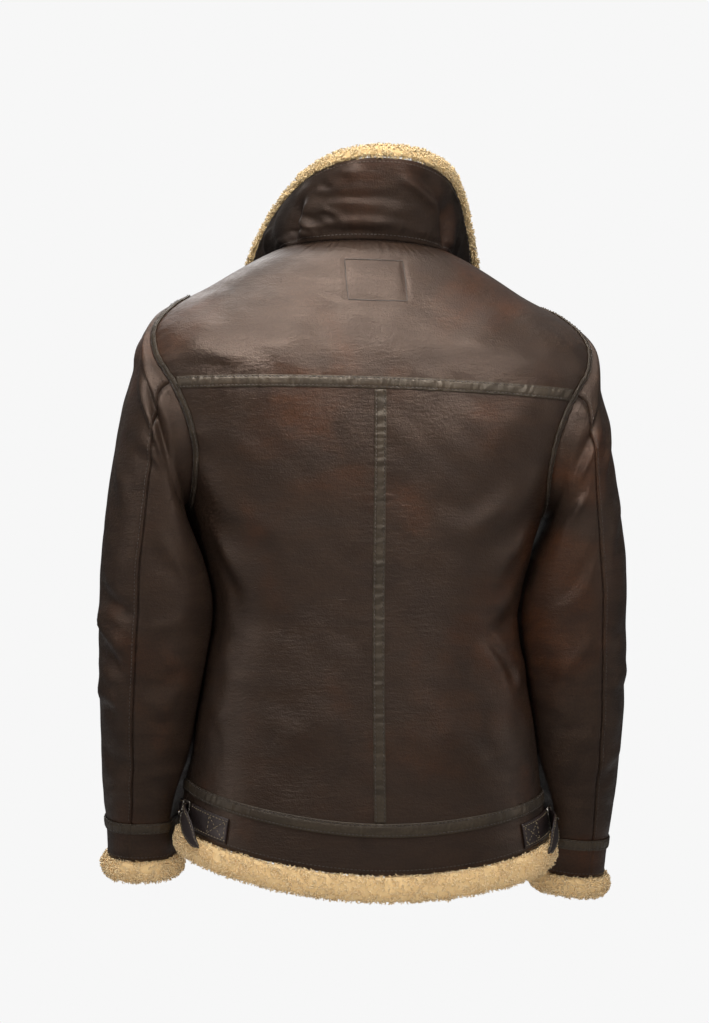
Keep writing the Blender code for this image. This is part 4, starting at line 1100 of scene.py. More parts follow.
def edge_angle(level, way):
    """Angle of the armhole's edge, or of the side seam below and above it."""
    radius = ARM_RADIUS + 2 * SEAM_GAP
    inside = np.clip((level - ARM_MIDDLE) / radius, -1, 1)
    turn = way * np.degrees(np.arccos(inside))
    seam = way * math.degrees(SEAM_GAP / 2 / METRES_PER_RADIAN)
    return arm_place(turn, 2 * SEAM_GAP)[0] - seam


def narrow(level, width):
    """Angle of a place a short way to the side of the centre line."""
    return np.degrees(np.arcsin(width / ring_value("half_width", level)))


def arm_rows(first_turn, last_turn, cell=CELL):
    """Levels of evenly spaced turns round the armhole, a cell apart."""
    count = int(math.radians(abs(last_turn - first_turn)) * ARM_RADIUS / cell * 1.25) + 2
    turns = np.linspace(first_turn, last_turn, count)
    return arm_place(turns, 2 * SEAM_GAP)[1]


def even_rows(low, high, cell=CELL):
    """Levels a cell apart."""
    return np.linspace(low, high, int(abs(high - low) / cell) + 2)


HALF_GAP = SEAM_GAP / 2
ROWS_BELOW_ARM = even_rows(HEM_SEAM_LEVEL + HALF_GAP, ARM_LOW - 2 * SEAM_GAP)[:-1]
ROWS_TO_YOKE = arm_rows(180, YOKE_TURN)
ROWS_OVER_YOKE = arm_rows(YOKE_TURN, 0, YOKE_CELL)


def panel_grid(levels, first, last, count):
    """Angles that run evenly from a first to a last angle on each level."""
    share = np.linspace(0, 1, count)
    angles = first[:, None] + (last - first)[:, None] * share
    return angles, np.broadcast_to(levels[:, None], angles.shape)


def body_piece(name, angles, levels, side, rests_on=()):
    """Leather wall on a grid of the body, with fleece inside."""
    points, normals = dressed_body(angles, levels, side=side)
    cut_piece(name, points, normals, [leather, fleece_back], LEATHER_WALL,
              lining=True)


# %% Back panels and yoke
levels = np.concatenate([ROWS_BELOW_ARM, ROWS_TO_YOKE])
levels[-1] = YOKE_LEVEL - HALF_GAP
back_columns = int(PANEL_WIDTH / CELL)
for side, word in SIDES:
    grid = panel_grid(levels, narrow(levels, HALF_GAP), edge_angle(levels, 1), back_columns)
    body_piece(f"back_{word}", *grid, side, ["yoke"])
levels = np.concatenate([ROWS_OVER_YOKE, even_rows(ARM_TOP + 0.003, NECK_LEVEL, YOKE_CELL)])
levels[0] = YOKE_LEVEL + HALF_GAP
edge = edge_angle(levels, 1)
body_piece("yoke", *panel_grid(levels, -edge, edge, YOKE_COLUMNS), 1,
           ["front_left", "front_right"])

# %% Fronts
ZIP_OPENING_HALF = 0.0045
front_columns = int(PANEL_WIDTH / FRONT_CELL)
below = even_rows(HEM_SEAM_LEVEL + HALF_GAP, ARM_LOW - 2 * SEAM_GAP, FRONT_CELL)[:-1]
above = even_rows(ARM_TOP + 0.004, NECK_LEVEL, FRONT_CELL)
levels = np.concatenate([below, arm_rows(180, 0, FRONT_CELL), above])
for side, word in SIDES:
    grid = panel_grid(levels, edge_angle(levels, -1), 180 - narrow(levels, ZIP_OPENING_HALF),
                      front_columns)
    body_piece(f"front_{word}", *grid, side, ["yoke"])

# %% Hem bands
levels = even_rows(HEM_LEVEL, HEM_SEAM_LEVEL - HALF_GAP)
side_edge = edge_angle(levels, 1)
body_piece("hem_band_back", *panel_grid(levels, -side_edge, side_edge, 2 * back_columns), 1,
           ["back_left", "back_right"])
for side, word in SIDES:
    grid = panel_grid(levels, edge_angle(levels, -1), 180 - narrow(levels, ZIP_OPENING_HALF),
                      back_columns)
    body_piece(f"hem_band_{word}", *grid, side, [f"front_{word}"])
print("body pieces:", len(cuts))

# %% [markdown]
# ## Sleeves and cuffs
# A sleeve is a top and an under piece, sewn along its back and front, and a cuff band below
# them. The seams lie in a narrow groove, with a row of stitches beside it. At the front of
# the sleeve head the cloth folds back on itself within a few cells, and its inner wall would
# come through the outer one. There the points are drawn towards their neighbours, which
# rounds the fold off, and the wall is a little thinner than it is on the body.

# %% Sleeves and cuff bands
SEAM_TURN_GAP = 0.12
SEAM_ROW_GAP = 0.005
SLEEVE_WALL = 0.0018
FRONT_HEAD_TURN, FRONT_HEAD_TURNS = -45, 32
FRONT_HEAD_ROW, FRONT_HEAD_ROWS = 0.8, 0.6
ROUND_TURNS = np.arange(0, 360, 2.0)
sleeve_rows = np.linspace(0.02, CUFF_SEAM_ROW - SEAM_ROW_GAP, 130)
cuff_rows = np.linspace(CUFF_SEAM_ROW + SEAM_ROW_GAP, CUFF_EDGE_ROW, 11)
SLEEVE_CUTS = (
    ("sleeve_top", -YOKE_TURN + SEAM_TURN_GAP, YOKE_TURN - SEAM_TURN_GAP, 56),
    ("sleeve_under", YOKE_TURN + SEAM_TURN_GAP, 360 - YOKE_TURN - SEAM_TURN_GAP, 62),
)


def soften(points, share, rounds=14):
    """Grid points drawn by a share towards the mean of their four neighbours."""
    for _ in range(rounds):
        mean = points.copy()
        mean[1:-1, 1:-1] = (points[:-2, 1:-1] + points[2:, 1:-1]
                            + points[1:-1, :-2] + points[1:-1, 2:]) / 4
        points = points + share[..., None] * (mean - points)
    return points


for side, word in SIDES:
    for name, first, last, count in SLEEVE_CUTS:
        turns, rows = np.meshgrid(np.linspace(first, last, count), sleeve_rows)
        points, normals = dressed_sleeve(turns, rows, side)
        if name == "sleeve_top":
            front_head = (bell(turns - FRONT_HEAD_TURN, FRONT_HEAD_TURNS)
                          * bell(rows - FRONT_HEAD_ROW, FRONT_HEAD_ROWS))
            points = soften(points, 0.9 * front_head)
        cut_piece(f"{name}_{word}", points, normals, [lit_sleeve_leather, fleece_back],
                  SLEEVE_WALL, lining=True)
    turns, rows = np.meshgrid(ROUND_TURNS, cuff_rows)
    points, normals = dressed_sleeve(turns, rows, side)
    cut_piece(f"cuff_band_{word}", points, normals, [lit_sleeve_leather, fleece_back],
              LEATHER_WALL, wrap=True, lining=True)

# %% [markdown]
# ## Collar
# The collar stands up behind and opens into two wings in front. Its leather side is one
# piece. A swell above the neck seam, creases and a fan of puckers show that it is thick. The
# wings turn away from the light, and their shade is painted on: an attribute called shade
# makes their leather nearly black in the finish. It follows the piece and not the light.

# %% Collar leather
COLLAR_END_SHARE = 6 / 8
COLLAR_PAINTED_SHADE = 0.85
SHADE_SOFT_DEG = 9
neck_front = 180 - narrow(np.array([NECK_LEVEL]), ZIP_OPENING_HALF)[0]
collar_end = float(90 + (neck_front - 90) * COLLAR_END_SHARE)
turns, rises = np.meshgrid(np.linspace(-collar_end, collar_end, 200),
                           np.linspace(0.004, 1.0, 40))
points, normals = dressed_collar(turns, rises)
collar_face = cut_piece("collar", points, normals, [shaded_collar_leather, fleece_back],
                        COLLAR_WALL, lining=True)
# Painted shade: past the fold lines the wings' leather is painted nearly black.
beyond_fold = np.where(turns > 0, turns - 72 + 27 * rises, -turns - 68 + 25 * rises)
shades = 1 - COLLAR_PAINTED_SHADE * ease(beyond_fold / SHADE_SOFT_DEG)
shade = collar_face.data.attributes.new("shade", "FLOAT", "POINT")
shade.data.foreach_set("value", shades.astype(np.float32).ravel())
print("collar ends at", round(collar_end, 1), "degrees;", len(cuts), "cut pieces so far")

# %% [markdown]
# ## Tapes
# Smooth strips cover the yoke, centre-back, hem, armhole and cuff seams. Two rows of
# stitches draw each of them into small cross ripples that catch the light. The strip's
# section is a low crown with a groove under each row of stitches. It is laid on the same
# surface as the leather below it, moved out, so it follows every fold.

# %% Tape helper
TAPE_LIFT = 0.0004
TAPE_THICKNESS = 0.0010
TAPE_WIDTH = 0.0125
CROWN = 0.0007
GROOVE_AT = 0.72
ACROSS = np.array([-1.0, -0.86, -0.72, -0.58, -0.3, 0.0, 0.3, 0.58, 0.72, 0.86, 1.0])


def tape_height(across, along, seed, depth=0.00060):
    """Crowned section with cross ripples: across runs from -1 to 1, along in metres. The
    ripple is a sine along the tape, its phase and strength swung by slower sines."""
    crown = min(CROWN, depth) * (1 - across**4)
    grooves = -0.0005 * bell(np.abs(across) - GROOVE_AT, 0.12)
    swing = 1.8 * np.sin(2 * math.pi * along / 0.061 + seed) + 1.5 * across
    swing = swing + 1.1 * np.sin(2 * math.pi * along / 0.023 + 2 * seed)
    ripple = np.sin(2 * math.pi * along / 0.0083 + swing)
    size = 0.62 + 0.38 * np.sin(2 * math.pi * along / 0.037 + 3 * seed)
    ripple = ripple * size * (1 - across**2) ** 0.5
    return crown + grooves + depth * ripple


def tape_piece(name, points, normals, rests_on, wrap=False):
    """Strip of tape leather on a grid."""
    cut_piece(name, points, normals, [tape_leather], TAPE_THICKNESS, wrap=wrap)


# %% Yoke, hem and centre-back tapes
def level_tape(name, level, angles, seed, rests_on):
    """Tape along a level of the body."""
    grid_angles, across = np.meshgrid(angles, ACROSS)
    grid_levels = level + across * TAPE_WIDTH / 2
    along = grid_angles * DEG_METRES
    height = TAPE_LIFT + TAPE_THICKNESS + tape_height(across, along, seed)
    tape_piece(name, *dressed_body(grid_angles, grid_levels, height), rests_on)


ARM_TAPE_WIDTH = 0.0095
yoke_end = arm_place(YOKE_TURN, ARM_TAPE_WIDTH + 0.003)[0]
hem_end = float(180 - narrow(np.array([HEM_SEAM_LEVEL]), ZIP_OPENING_HALF)[0])
level_tape("yoke_tape", YOKE_LEVEL, np.linspace(-yoke_end, yoke_end, 240), 1.0, ["yoke"])
level_tape("hem_tape", HEM_SEAM_LEVEL, np.linspace(-hem_end, hem_end, 420), 2.0,
           ["hem_band_back", "hem_band_left", "hem_band_right"])
low, high = HEM_SEAM_LEVEL + TAPE_WIDTH / 2 + 0.0006, YOKE_LEVEL - TAPE_WIDTH / 2 - 0.0006
grid_levels, across = np.meshgrid(np.linspace(low, high, 220), ACROSS)
grid_angles = np.sign(across) * narrow(grid_levels, np.abs(across) * TAPE_WIDTH / 2)
strength = 0.35 + 0.65 * ease((grid_levels + 0.50) / 0.15)
height = TAPE_LIFT + TAPE_THICKNESS + tape_height(across, grid_levels, 3.0) * strength
tape_piece("centre_back_tape", *dressed_body(grid_angles, grid_levels, height),
           ["back_left", "back_right"])

# %% Armhole and cuff tapes
ARM_TAPE_LIFT = 0.0006
ARM_TAPE_NEAR = 0.0018
CUFF_TAPE_LIFT = 0.0007
CUFF_TAPE_ROW = CUFF_SEAM_ROW - 0.02
CUFF_TAPE_HALF_ROWS = 0.18


def arm_tape_grow(across):
    """How far outside the armhole a place across its tape lies: -1 is the inner edge."""
    return ARM_TAPE_NEAR + (ARM_TAPE_WIDTH - ARM_TAPE_NEAR) * (across + 1) / 2


for side, word in SIDES:
    turns, across = np.meshgrid(np.arange(0, 360, 1.2), ACROSS)
    height = ARM_TAPE_LIFT + TAPE_THICKNESS + tape_height(across, turns * 0.0021, 4.0, 0.00015)
    points, normals = dressed_body(*arm_place(turns, arm_tape_grow(across)), height, side)
    tape_piece(f"armhole_tape_{word}", points, normals, [f"front_{word}", "yoke"], wrap=True)
    turns, across = np.meshgrid(ROUND_TURNS, ACROSS)
    rows = CUFF_TAPE_ROW + across * CUFF_TAPE_HALF_ROWS
    height = CUFF_TAPE_LIFT + TAPE_THICKNESS + tape_height(across, turns * 0.0009, 5.0, 0.0004)
    points, normals = dressed_sleeve(turns, rows, side, height)
    tape_piece(f"cuff_tape_{word}", points, normals, [f"cuff_band_{word}"], wrap=True)
print("cut pieces with tapes:", len(cuts))

# %% [markdown]
# ## Stitches
# Each stitch is a short bead of thread that dips into the leather at both ends. Rows of them
# follow the tapes' edges, the sleeve seams, every open edge, the straps and the rectangle
# sewn through the yoke below the neck. A picture of stitches would lie flat and catch no
# light. All stitches of one thread are one mesh, because thousands of objects would be slow.
# Thin dark cords lie where two pieces are sewn together, so that no light comes through the
# gap between their walls.

# %% Stitch helper
STITCH_PITCH = 0.0042
STITCH_LENGTH = 0.0032
THREAD_RADIUS = 0.00038
STITCH_SIDES = 4
STITCH_CORNERS = 2 * STITCH_SIDES + 2


def read_path(vectors, lengths, at):
    """Vectors read at distances along a path."""
    return np.stack([np.interp(at, lengths, vectors[:, k]) for k in range(3)], axis=-1)


def even_path(points, normals, pitch):
    """Places a pitch apart along a path of points, with direction and outward normal."""
    lengths = np.concatenate([[0], np.cumsum(np.linalg.norm(np.diff(points, axis=0), axis=1))])
    count = max(2, int(lengths[-1] / pitch))
    at = (np.arange(count) + 0.5) * lengths[-1] / count
    middle, before, after = (read_path(points, lengths, at + shift)
                             for shift in (0, -pitch / 4, pitch / 4))
    return middle, unit(after - before), unit(read_path(normals, lengths, at))


def stitch_row(points, normals):
    """Corners of all stitches on a path: a point below the leather, two rings, a point."""
    middle, ahead, out = even_path(points, normals, STITCH_PITCH)
    beside = np.cross(ahead, out)
    corners = np.array([(-0.5, -0.9, 0.0)] + [(-0.26, 0.2, 1.1)] * STITCH_SIDES
                       + [(0.26, 0.2, 1.1)] * STITCH_SIDES + [(0.5, -0.9, 0.0)])
    turn = np.concatenate([[0], np.tile(np.arange(STITCH_SIDES) * math.pi / 2, 2), [0]])
    along = corners[:, 0] * STITCH_LENGTH
    rise = (corners[:, 1] + corners[:, 2] * np.sin(turn)) * THREAD_RADIUS
    sideways = corners[:, 2] * np.cos(turn) * THREAD_RADIUS
    return (middle[:, None] + ahead[:, None] * along[:, None] + out[:, None] * rise[:, None]
            + beside[:, None] * sideways[:, None])


def stitch_faces():
    """Triangles of one stitch: two pointed ends and four sides."""
    faces = []
    last = STITCH_CORNERS - 1
    for k in range(STITCH_SIDES):
        a, b = 1 + k, 1 + (k + 1) % STITCH_SIDES
        c, d = a + STITCH_SIDES, b + STITCH_SIDES
        faces += [(0, a, b), (last, d, c), (a, c, d), (a, d, b)]
    return np.array(faces)


def sew(name, rows, material):
    """One mesh of all the stitches in the rows."""
    corners = np.concatenate([stitch_row(*row) for row in rows])
    faces = (np.arange(len(corners)) * STITCH_CORNERS)[:, None, None] + stitch_faces()[None]
    thing = mesh_object(name, corners.reshape(-1, 3), faces.reshape(-1, 3), [material])
    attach(thing, JACKET)
    print(name, "stitches:", len(corners))


# %% Paths for stitches and cords
ON_LEATHER = 1e-4
ON_TAPE = 0.0004
LINE_POINTS = 400
BESIDE_SEAM_TURN = 3.4


def body_line(angles, levels, lift, side=1):
    """Path on the dressed body, and its outward directions."""
    angles, levels = np.broadcast_arrays(np.asarray(angles, float), np.asarray(levels, float))
    return dressed_body(angles, levels, np.full(angles.shape, lift), side)


def sleeve_line(turns, rows, side, lift):
    """Path on the dressed sleeve, and its outward directions."""
    turns, rows = np.broadcast_arrays(np.asarray(turns, float), np.asarray(rows, float))
    return dressed_sleeve(turns, rows, side, np.full(turns.shape, lift))


# %% Seam stitches
tape_top = TAPE_LIFT + TAPE_THICKNESS + ON_TAPE
stitch_in = GROOVE_AT * TAPE_WIDTH / 2
around = np.linspace(0, 360, LINE_POINTS)
seam_rows = []
for way in (-1, 1):
    seam_rows.append(body_line(np.linspace(-yoke_end, yoke_end, 300),
                               YOKE_LEVEL + way * stitch_in, tape_top))
    seam_rows.append(body_line(np.linspace(-hem_end, hem_end, 500),
                               HEM_SEAM_LEVEL + way * stitch_in, tape_top))
    heights = np.linspace(low, high, 300)
    seam_rows.append(body_line(way * narrow(heights, stitch_in), heights, tape_top))
for side, word in SIDES:
    for across in (-GROOVE_AT, GROOVE_AT):
        seam_rows.append(body_line(*arm_place(around, arm_tape_grow(across)),
                                   ARM_TAPE_LIFT + TAPE_THICKNESS + ON_TAPE, side))
        row = CUFF_TAPE_ROW + across * CUFF_TAPE_HALF_ROWS
        seam_rows.append(sleeve_line(around, row, side, tape_top))
    rows = np.linspace(0.3, CUFF_SEAM_ROW - 0.3, LINE_POINTS)
    for turn in (YOKE_TURN - BESIDE_SEAM_TURN, 360 - YOKE_TURN + BESIDE_SEAM_TURN):
        seam_rows.append(sleeve_line(turn, rows, side, ON_LEATHER))
    seam_rows.append(sleeve_line(around, CUFF_EDGE_ROW - 0.12, side, ON_LEATHER))
    heights = np.linspace(HEM_LEVEL + 0.004, -0.09, LINE_POINTS)
    seam_rows.append(body_line(180 - narrow(heights, ZIP_OPENING_HALF + 0.006), heights,
                               ON_LEATHER, side))
seam_rows.append(body_line(np.linspace(-hem_end, hem_end, 500), HEM_LEVEL + 0.005, ON_LEATHER))
collar_line = np.linspace(-collar_end, collar_end, 300)
for rise in (0.955, 0.07):
    seam_rows.append(dressed_collar(collar_line, np.full(300, rise), np.full(300, ON_LEATHER)))

# %% Cords in the neck, sleeve and armhole seams
CORD_SIDES = 4


def cord(name, points, radius):
    """Thin four-sided tube of dark thread along a path of points."""
    ahead = unit(np.gradient(points, axis=0))
    first = unit(np.cross(ahead, np.array([0.0, 0.0, 1.0])))
    second = np.cross(ahead, first)
    turn = (np.arange(CORD_SIDES) * 2 * math.pi / CORD_SIDES)[:, None]
    grid = points[:, None] + radius * (first[:, None] * np.cos(turn)
                                       + second[:, None] * np.sin(turn))
    faces = grid_faces(len(points), CORD_SIDES, wrap=True)
    thing = mesh_object(name, grid.reshape(-1, 3), faces, [dark_thread])
    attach(thing, JACKET)


neck_angles = np.linspace(-collar_end, collar_end, LINE_POINTS)
neck_rise = np.full(LINE_POINTS, 0.002)
neck_path = collar(neck_angles, neck_rise) - collar_frame(neck_angles, neck_rise)[0] * 0.0012
cord("neck_seam_cord", place(neck_path, 1), 0.0011)
for side, word in SIDES:
    rows = np.linspace(0.08, CUFF_SEAM_ROW - 0.1, 260)
    for place_word, turn in (("back", YOKE_TURN), ("front", 360 - YOKE_TURN)):
        cord(f"sleeve_seam_cord_{place_word}_{word}",
             sleeve_line(turn, rows, side, -0.0013)[0], 0.0009)
    cord(f"armhole_seam_cord_{word}",
         sleeve_line(np.linspace(0, 360, 260), 0.02, side, -0.0012)[0], 0.0012)

# %% The rectangle sewn through the yoke
# The dark cords along the sewn outline stand for its thread and, partly, for painted shade in its
# narrow groove.
for number, (angle_a, level_a) in enumerate(OUTLINE_CORNERS):
    angle_b, level_b = OUTLINE_CORNERS[(number + 1) % 4]
    cord(f"yoke_outline_cord_{number + 1}",
         body_line(np.linspace(angle_a, angle_b, 60), np.linspace(level_a, level_b, 60),
                   0.0004)[0], 0.00050)
    seam_rows.append(body_line(np.linspace(angle_a, angle_b, 40),
                               np.linspace(level_a, level_b, 40), 2e-4))
sew("seam_stitches", seam_rows, dark_thread)

# %% [markdown]
# ## Fleece
# The pile shows as a roll round the collar's edge, the hem and the cuffs, and all over the
# collar's inner side. A lumpy core carries thousands of short corkscrew curls. Hair curves
# would be finer still, but an exported model drops them, so each curl is a mesh: three rings
# of three corners and a point, which keeps a piece light. The roots are scattered by area,
# and each curl has a tone of its own.

# The core between the curls and the root of each curl are painted darker, as shade.
# %% Scatter the roots
def scatter(grid, count, seed, wrap_rows=False, wrap_columns=False):
    """Random places on a grid, spread by area, with the direction out of each cell."""
    if wrap_rows:
        grid = np.concatenate([grid, grid[:1]], axis=0)
    if wrap_columns:
        grid = np.concatenate([grid, grid[:, :1]], axis=1)
    a, b, c, d = grid[:-1, :-1], grid[:-1, 1:], grid[1:, 1:], grid[1:, :-1]
    out = np.cross(c - a, d - b).reshape(-1, 3)
    area = np.linalg.norm(out, axis=-1)
    chance = np.random.default_rng(seed)
    cell = chance.choice(len(area), size=count, p=area / area.sum())
    s, t = chance.random((2, count, 1))
    corners = [part.reshape(-1, 3)[cell] for part in (a, b, c, d)]
    roots = ((1 - s) * (1 - t) * corners[0] + s * (1 - t) * corners[1]
             + s * t * corners[2] + (1 - s) * t * corners[3])
    return roots, unit(out[cell])


# %% Shape of the curls
CURL_SIDES = 3
CURL_TAPER = (1.0, 1.1, 0.85, 0.0)
CURL_RINGS = len(CURL_TAPER) - 1
CURL_LENGTH = 0.0036
CURL_RADIUS = 0.00068
CURL_TURN = 5.2
# Painted shade: the core's low tone and height paint it dark between the curls.
CORE_SHADE_TONE, CORE_SHADE_HEIGHT = 0.15, 0.05


def curl_points(roots, out, seed):
    """Corkscrews: rise along the normal while circling it, thinning to a point."""
    chance = np.random.default_rng(seed)
    count = len(roots)
    helper = unit(chance.normal(size=(count, 3)))
    first = unit(np.cross(out, helper))
    second = np.cross(out, first)
    lean = first * chance.normal(0, 0.3, (count, 1)) + second * chance.normal(0, 0.3, (count, 1))
    tall = CURL_LENGTH * chance.uniform(0.65, 1.25, (count, 1))
    swirl = chance.uniform(0.0007, 0.0016, (count, 1))
    sense = chance.choice([-1.0, 1.0], (count, 1))
    centres = []
    for number in range(CURL_RINGS + 1):
        s = number / CURL_RINGS
        turn = sense * (s * CURL_TURN) + chance.uniform(-0.2, 0.2, (count, 1))
        circle = first * np.sin(turn) + second * (1 - np.cos(turn))
        rise = (out + lean * s) * tall * (s - 0.25 * s**3)
        centres.append(roots + rise + circle * swirl * s**0.5)
    centres = np.stack(centres, axis=1)
    thick = CURL_RADIUS * chance.uniform(0.8, 1.3, (count, 1, 1))
    taper = np.array(CURL_TAPER)[None, :, None] * thick
    angles = np.arange(CURL_SIDES) * 2 * math.pi / CURL_SIDES
    sections = [centres + taper * (first[:, None] * math.cos(a) + second[:, None] * math.sin(a))
                for a in angles]
    return np.stack(sections, axis=2), chance.random(count)


def curl_faces():
    """Triangles of one curl: its rings of corners, then a point."""
    n = CURL_SIDES
    faces = []
    for ring in range(CURL_RINGS - 1):
        for k in range(n):
            a, b = ring * n + k, ring * n + (k + 1) % n
            faces += [(a, b, b + n), (a, b + n, a + n)]
    last, tip = (CURL_RINGS - 1) * n, CURL_RINGS * n
    faces += [(last + k, last + (k + 1) % n, tip) for k in range(n)]
    return np.array(faces)


def set_curl_tone(thing, tone, height):
    """Store each point's tone and height up its curl; the finish paints low points darker, as
    shade.
    """
    layer = thing.data.attributes.new("curl", "FLOAT_COLOR", "POINT")
    values = np.stack([tone, height, 0 * tone, 0 * tone + 1], axis=-1)
    layer.data.foreach_set("color", values.astype(np.float32).ravel())


def paint_core_shade(thing):
    """The core between the curls: a low tone and height, painted dark as shade."""
    count = len(thing.data.vertices)
    set_curl_tone(thing, np.full(count, CORE_SHADE_TONE), np.full(count, CORE_SHADE_HEIGHT))


def curls(name, roots, out, seed, pile=fleece):
    """One mesh of curls that grow from the roots."""
    sections, tone = curl_points(roots, out, seed)
    count = len(roots)
    rings = sections[:, :CURL_RINGS].reshape(count, -1, 3)
    corners = np.concatenate([rings, sections[:, CURL_RINGS, :1]], axis=1)
    size = corners.shape[1]
    faces = (np.arange(count) * size)[:, None, None] + curl_faces()[None]
    thing = mesh_object(name, corners.reshape(-1, 3), faces.reshape(-1, 3), [pile])
    # The height up each curl paints its root darker: painted shade.
    height = np.append(np.repeat(np.arange(CURL_RINGS) / CURL_RINGS, CURL_SIDES), 1.0)
    set_curl_tone(thing, np.repeat(tone, size), np.tile(height, count))
    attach(thing, JACKET)
    print(name, "curls:", count, "triangles:", len(thing.data.polygons))


# %% A roll of fleece
ROLL_SIDES = 18
CORE_INSET = 0.0014
CORE_LUMPS = ((0.0008, 0.011), (0.0005, 0.006))
ROOT_CHUNK = 2000


def closed_loop(outline, count, shrink=0.0):
    """Smooth closed loop through outline points, drawn in by a distance."""
    outline = np.array(outline)
    knots = np.arange(len(outline) + 1)
    loop = np.concatenate([outline, outline[:1]])
    padded_knots = np.arange(-2, len(outline) + 3)
    padded_loop = np.concatenate([outline[-2:], loop, outline[1:3]])
    at = np.linspace(0, knots[-1], count, endpoint=False)
    smooth = np.stack([smooth_curve(padded_knots, padded_loop[:, k], at) for k in (0, 1)], -1)
    centre = outline.mean(axis=0)
    away = smooth - centre
    size = np.linalg.norm(away, axis=-1, keepdims=True)
    return centre + away * np.maximum(size - shrink, 0.3 * size) / size


def nearest_centre(roots, centre):
    """Closest point of a roll's centre line to each root."""
    line = centre.reshape(-1, 3)[::3]
    found = np.empty(len(roots), int)
    for start in range(0, len(roots), ROOT_CHUNK):
        chunk = slice(start, start + ROOT_CHUNK)
        gaps = np.linalg.norm(roots[chunk, None] - line[None], axis=-1)
        found[chunk] = gaps.argmin(axis=1)
    return line[found]


def fleece_roll(name, edge, out, ahead, outline, wrap, node, count, seed, halves=1,
                pile=fleece):
    """Lumpy core along an edge and curls all over it, inside the solid's outline."""
    section = closed_loop(outline, ROLL_SIDES, shrink=CORE_INSET)
    grid = np.stack([edge + out * x + ahead * y for x, y in section], axis=1)
    lump = sum(waves(grid, *row, seed + number) for number, row in enumerate(CORE_LUMPS))
    centre = grid.mean(axis=1, keepdims=True)
    grid = grid + unit(grid - centre) * lump[..., None]
    rows = grid.shape[0]
    flat_points = grid.reshape(-1, 3)
    faces = grid_faces(rows, ROLL_SIDES, wrap=True, close=wrap)
    faces = outward(flat_points, faces, unit(grid - centre).reshape(-1, 3)).tolist()
    if not wrap:
        first, last = np.arange(ROLL_SIDES), np.arange(ROLL_SIDES) + (rows - 1) * ROLL_SIDES
        faces += [first[::-1].tolist(), last.tolist()]
    thing = mesh_from_lists(name, flat_points, faces, [pile])
    paint_core_shade(thing)
    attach(thing, JACKET)
    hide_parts(node)
    roots, normals = scatter(grid, count, seed + 2, wrap_rows=wrap, wrap_columns=True)
    towards = np.einsum("ij,ij->i", normals, unit(roots - nearest_centre(roots, centre)))
    normals = normals * np.sign(towards)[:, None]
    for part in range(halves):
        label = f"{name}_curls" if halves == 1 else f"{name}_curls_{part + 1}"
        curls(label, roots[part::halves], normals[part::halves], seed + 3 + part, pile)


# %% Hem and cuff rolls: section points as distance out and distance past the edge
HEM_ROLL = [(0.003, 0.0006), (0.0060, 0.008), (0.0060, 0.018), (0.002, 0.026),
            (-0.004, 0.028), (-0.010, 0.024), (-0.013, 0.015), (-0.012, 0.006),
            (-0.008, 0.0006)]
CUFF_ROLL = [(0.003, 0.0006), (0.007, 0.007), (0.007, 0.016), (0.002, 0.024),
             (-0.004, 0.025), (-0.009, 0.021), (-0.011, 0.013), (-0.008, 0.0006)]
HEM_CURLS, CUFF_CURLS = 10400, 2900
angles = np.linspace(-hem_end, hem_end, 330)
level = np.full(len(angles), HEM_LEVEL)
edge = place(body(angles, level), 1)
out = body_normal(angles, level)
ahead = unit(body(angles, level) - body(angles, level + 0.004))
fleece_roll("hem_fleece", edge, out, ahead, HEM_ROLL, False, "hem_fleece", HEM_CURLS, 30, 2)
for side, word in SIDES:
    turns = np.arange(0, 360, 3.0)
    row = np.full(len(turns), float(CUFF_EDGE_ROW))
    edge = sleeve(turns, row, side)
    out = mirrored(sleeve_normal(turns, row, side), side)
    ahead = mirrored(unit(edge - sleeve(turns, row - 0.1, side)), side)
    fleece_roll(f"cuff_fleece_{word}", place(edge, side), out, ahead, CUFF_ROLL, True,
                f"cuff_fleece_{word}", CUFF_CURLS, 40 + side)

# %% Collar fleece: its rolled edge
COLLAR_ROLL = [(-0.0115, 0.006), (-0.009, 0.0125), (-0.003, 0.0150), (0.0025, 0.0125),
               (0.0045, 0.006), (0.0025, 0.0014), (-0.0029, 0.0012)]
COLLAR_EDGE_CURLS = 6000
collar_angles = np.linspace(-collar_end, collar_end, 240)
full = np.ones(len(collar_angles))
edge = place(collar(collar_angles, full), 1)
out, ahead = collar_frame(collar_angles, full)
fleece_roll("collar_roll", edge, out, ahead, COLLAR_ROLL, False, "collar_fleece",
            COLLAR_EDGE_CURLS, 50, pile=collar_fleece)

# %% Collar fleece: the inner face, a slab between two skins
COLLAR_PILE = 0.009
PILE_LUMPS = (0.0006, 0.012, 60)
turns, rises = np.meshgrid(collar_angles[::2], np.linspace(0.06, 1.0, 26))
normal = collar_normal(turns, rises)
skin = collar(turns, rises) + normal * collar_relief(turns, rises)[..., None]
depth = COLLAR_WALL + COLLAR_PILE - CURL_LENGTH * 0.8 + waves(skin, *PILE_LUMPS)
pile = place(skin - normal * depth[..., None], 1)
under = place(skin - normal * (COLLAR_WALL + 2 * SEAM_GAP), 1)
slab = np.concatenate([pile, under[::-1]], axis=0)
slab_rows, slab_columns = slab.shape[:2]
away = np.concatenate([-normal, normal[::-1]]).reshape(-1, 3)
faces = outward(slab.reshape(-1, 3), grid_faces(slab_rows, slab_columns, close=True), away)
end_cap = np.arange(slab_rows) * slab_columns
caps = [end_cap.tolist(), (end_cap + slab_columns - 1).tolist()[::-1]]
inner = mesh_from_lists("collar_pile", slab.reshape(-1, 3), faces.tolist() + caps,
                        [collar_fleece])
paint_core_shade(inner)
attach(inner, JACKET)
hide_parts("collar_fleece")

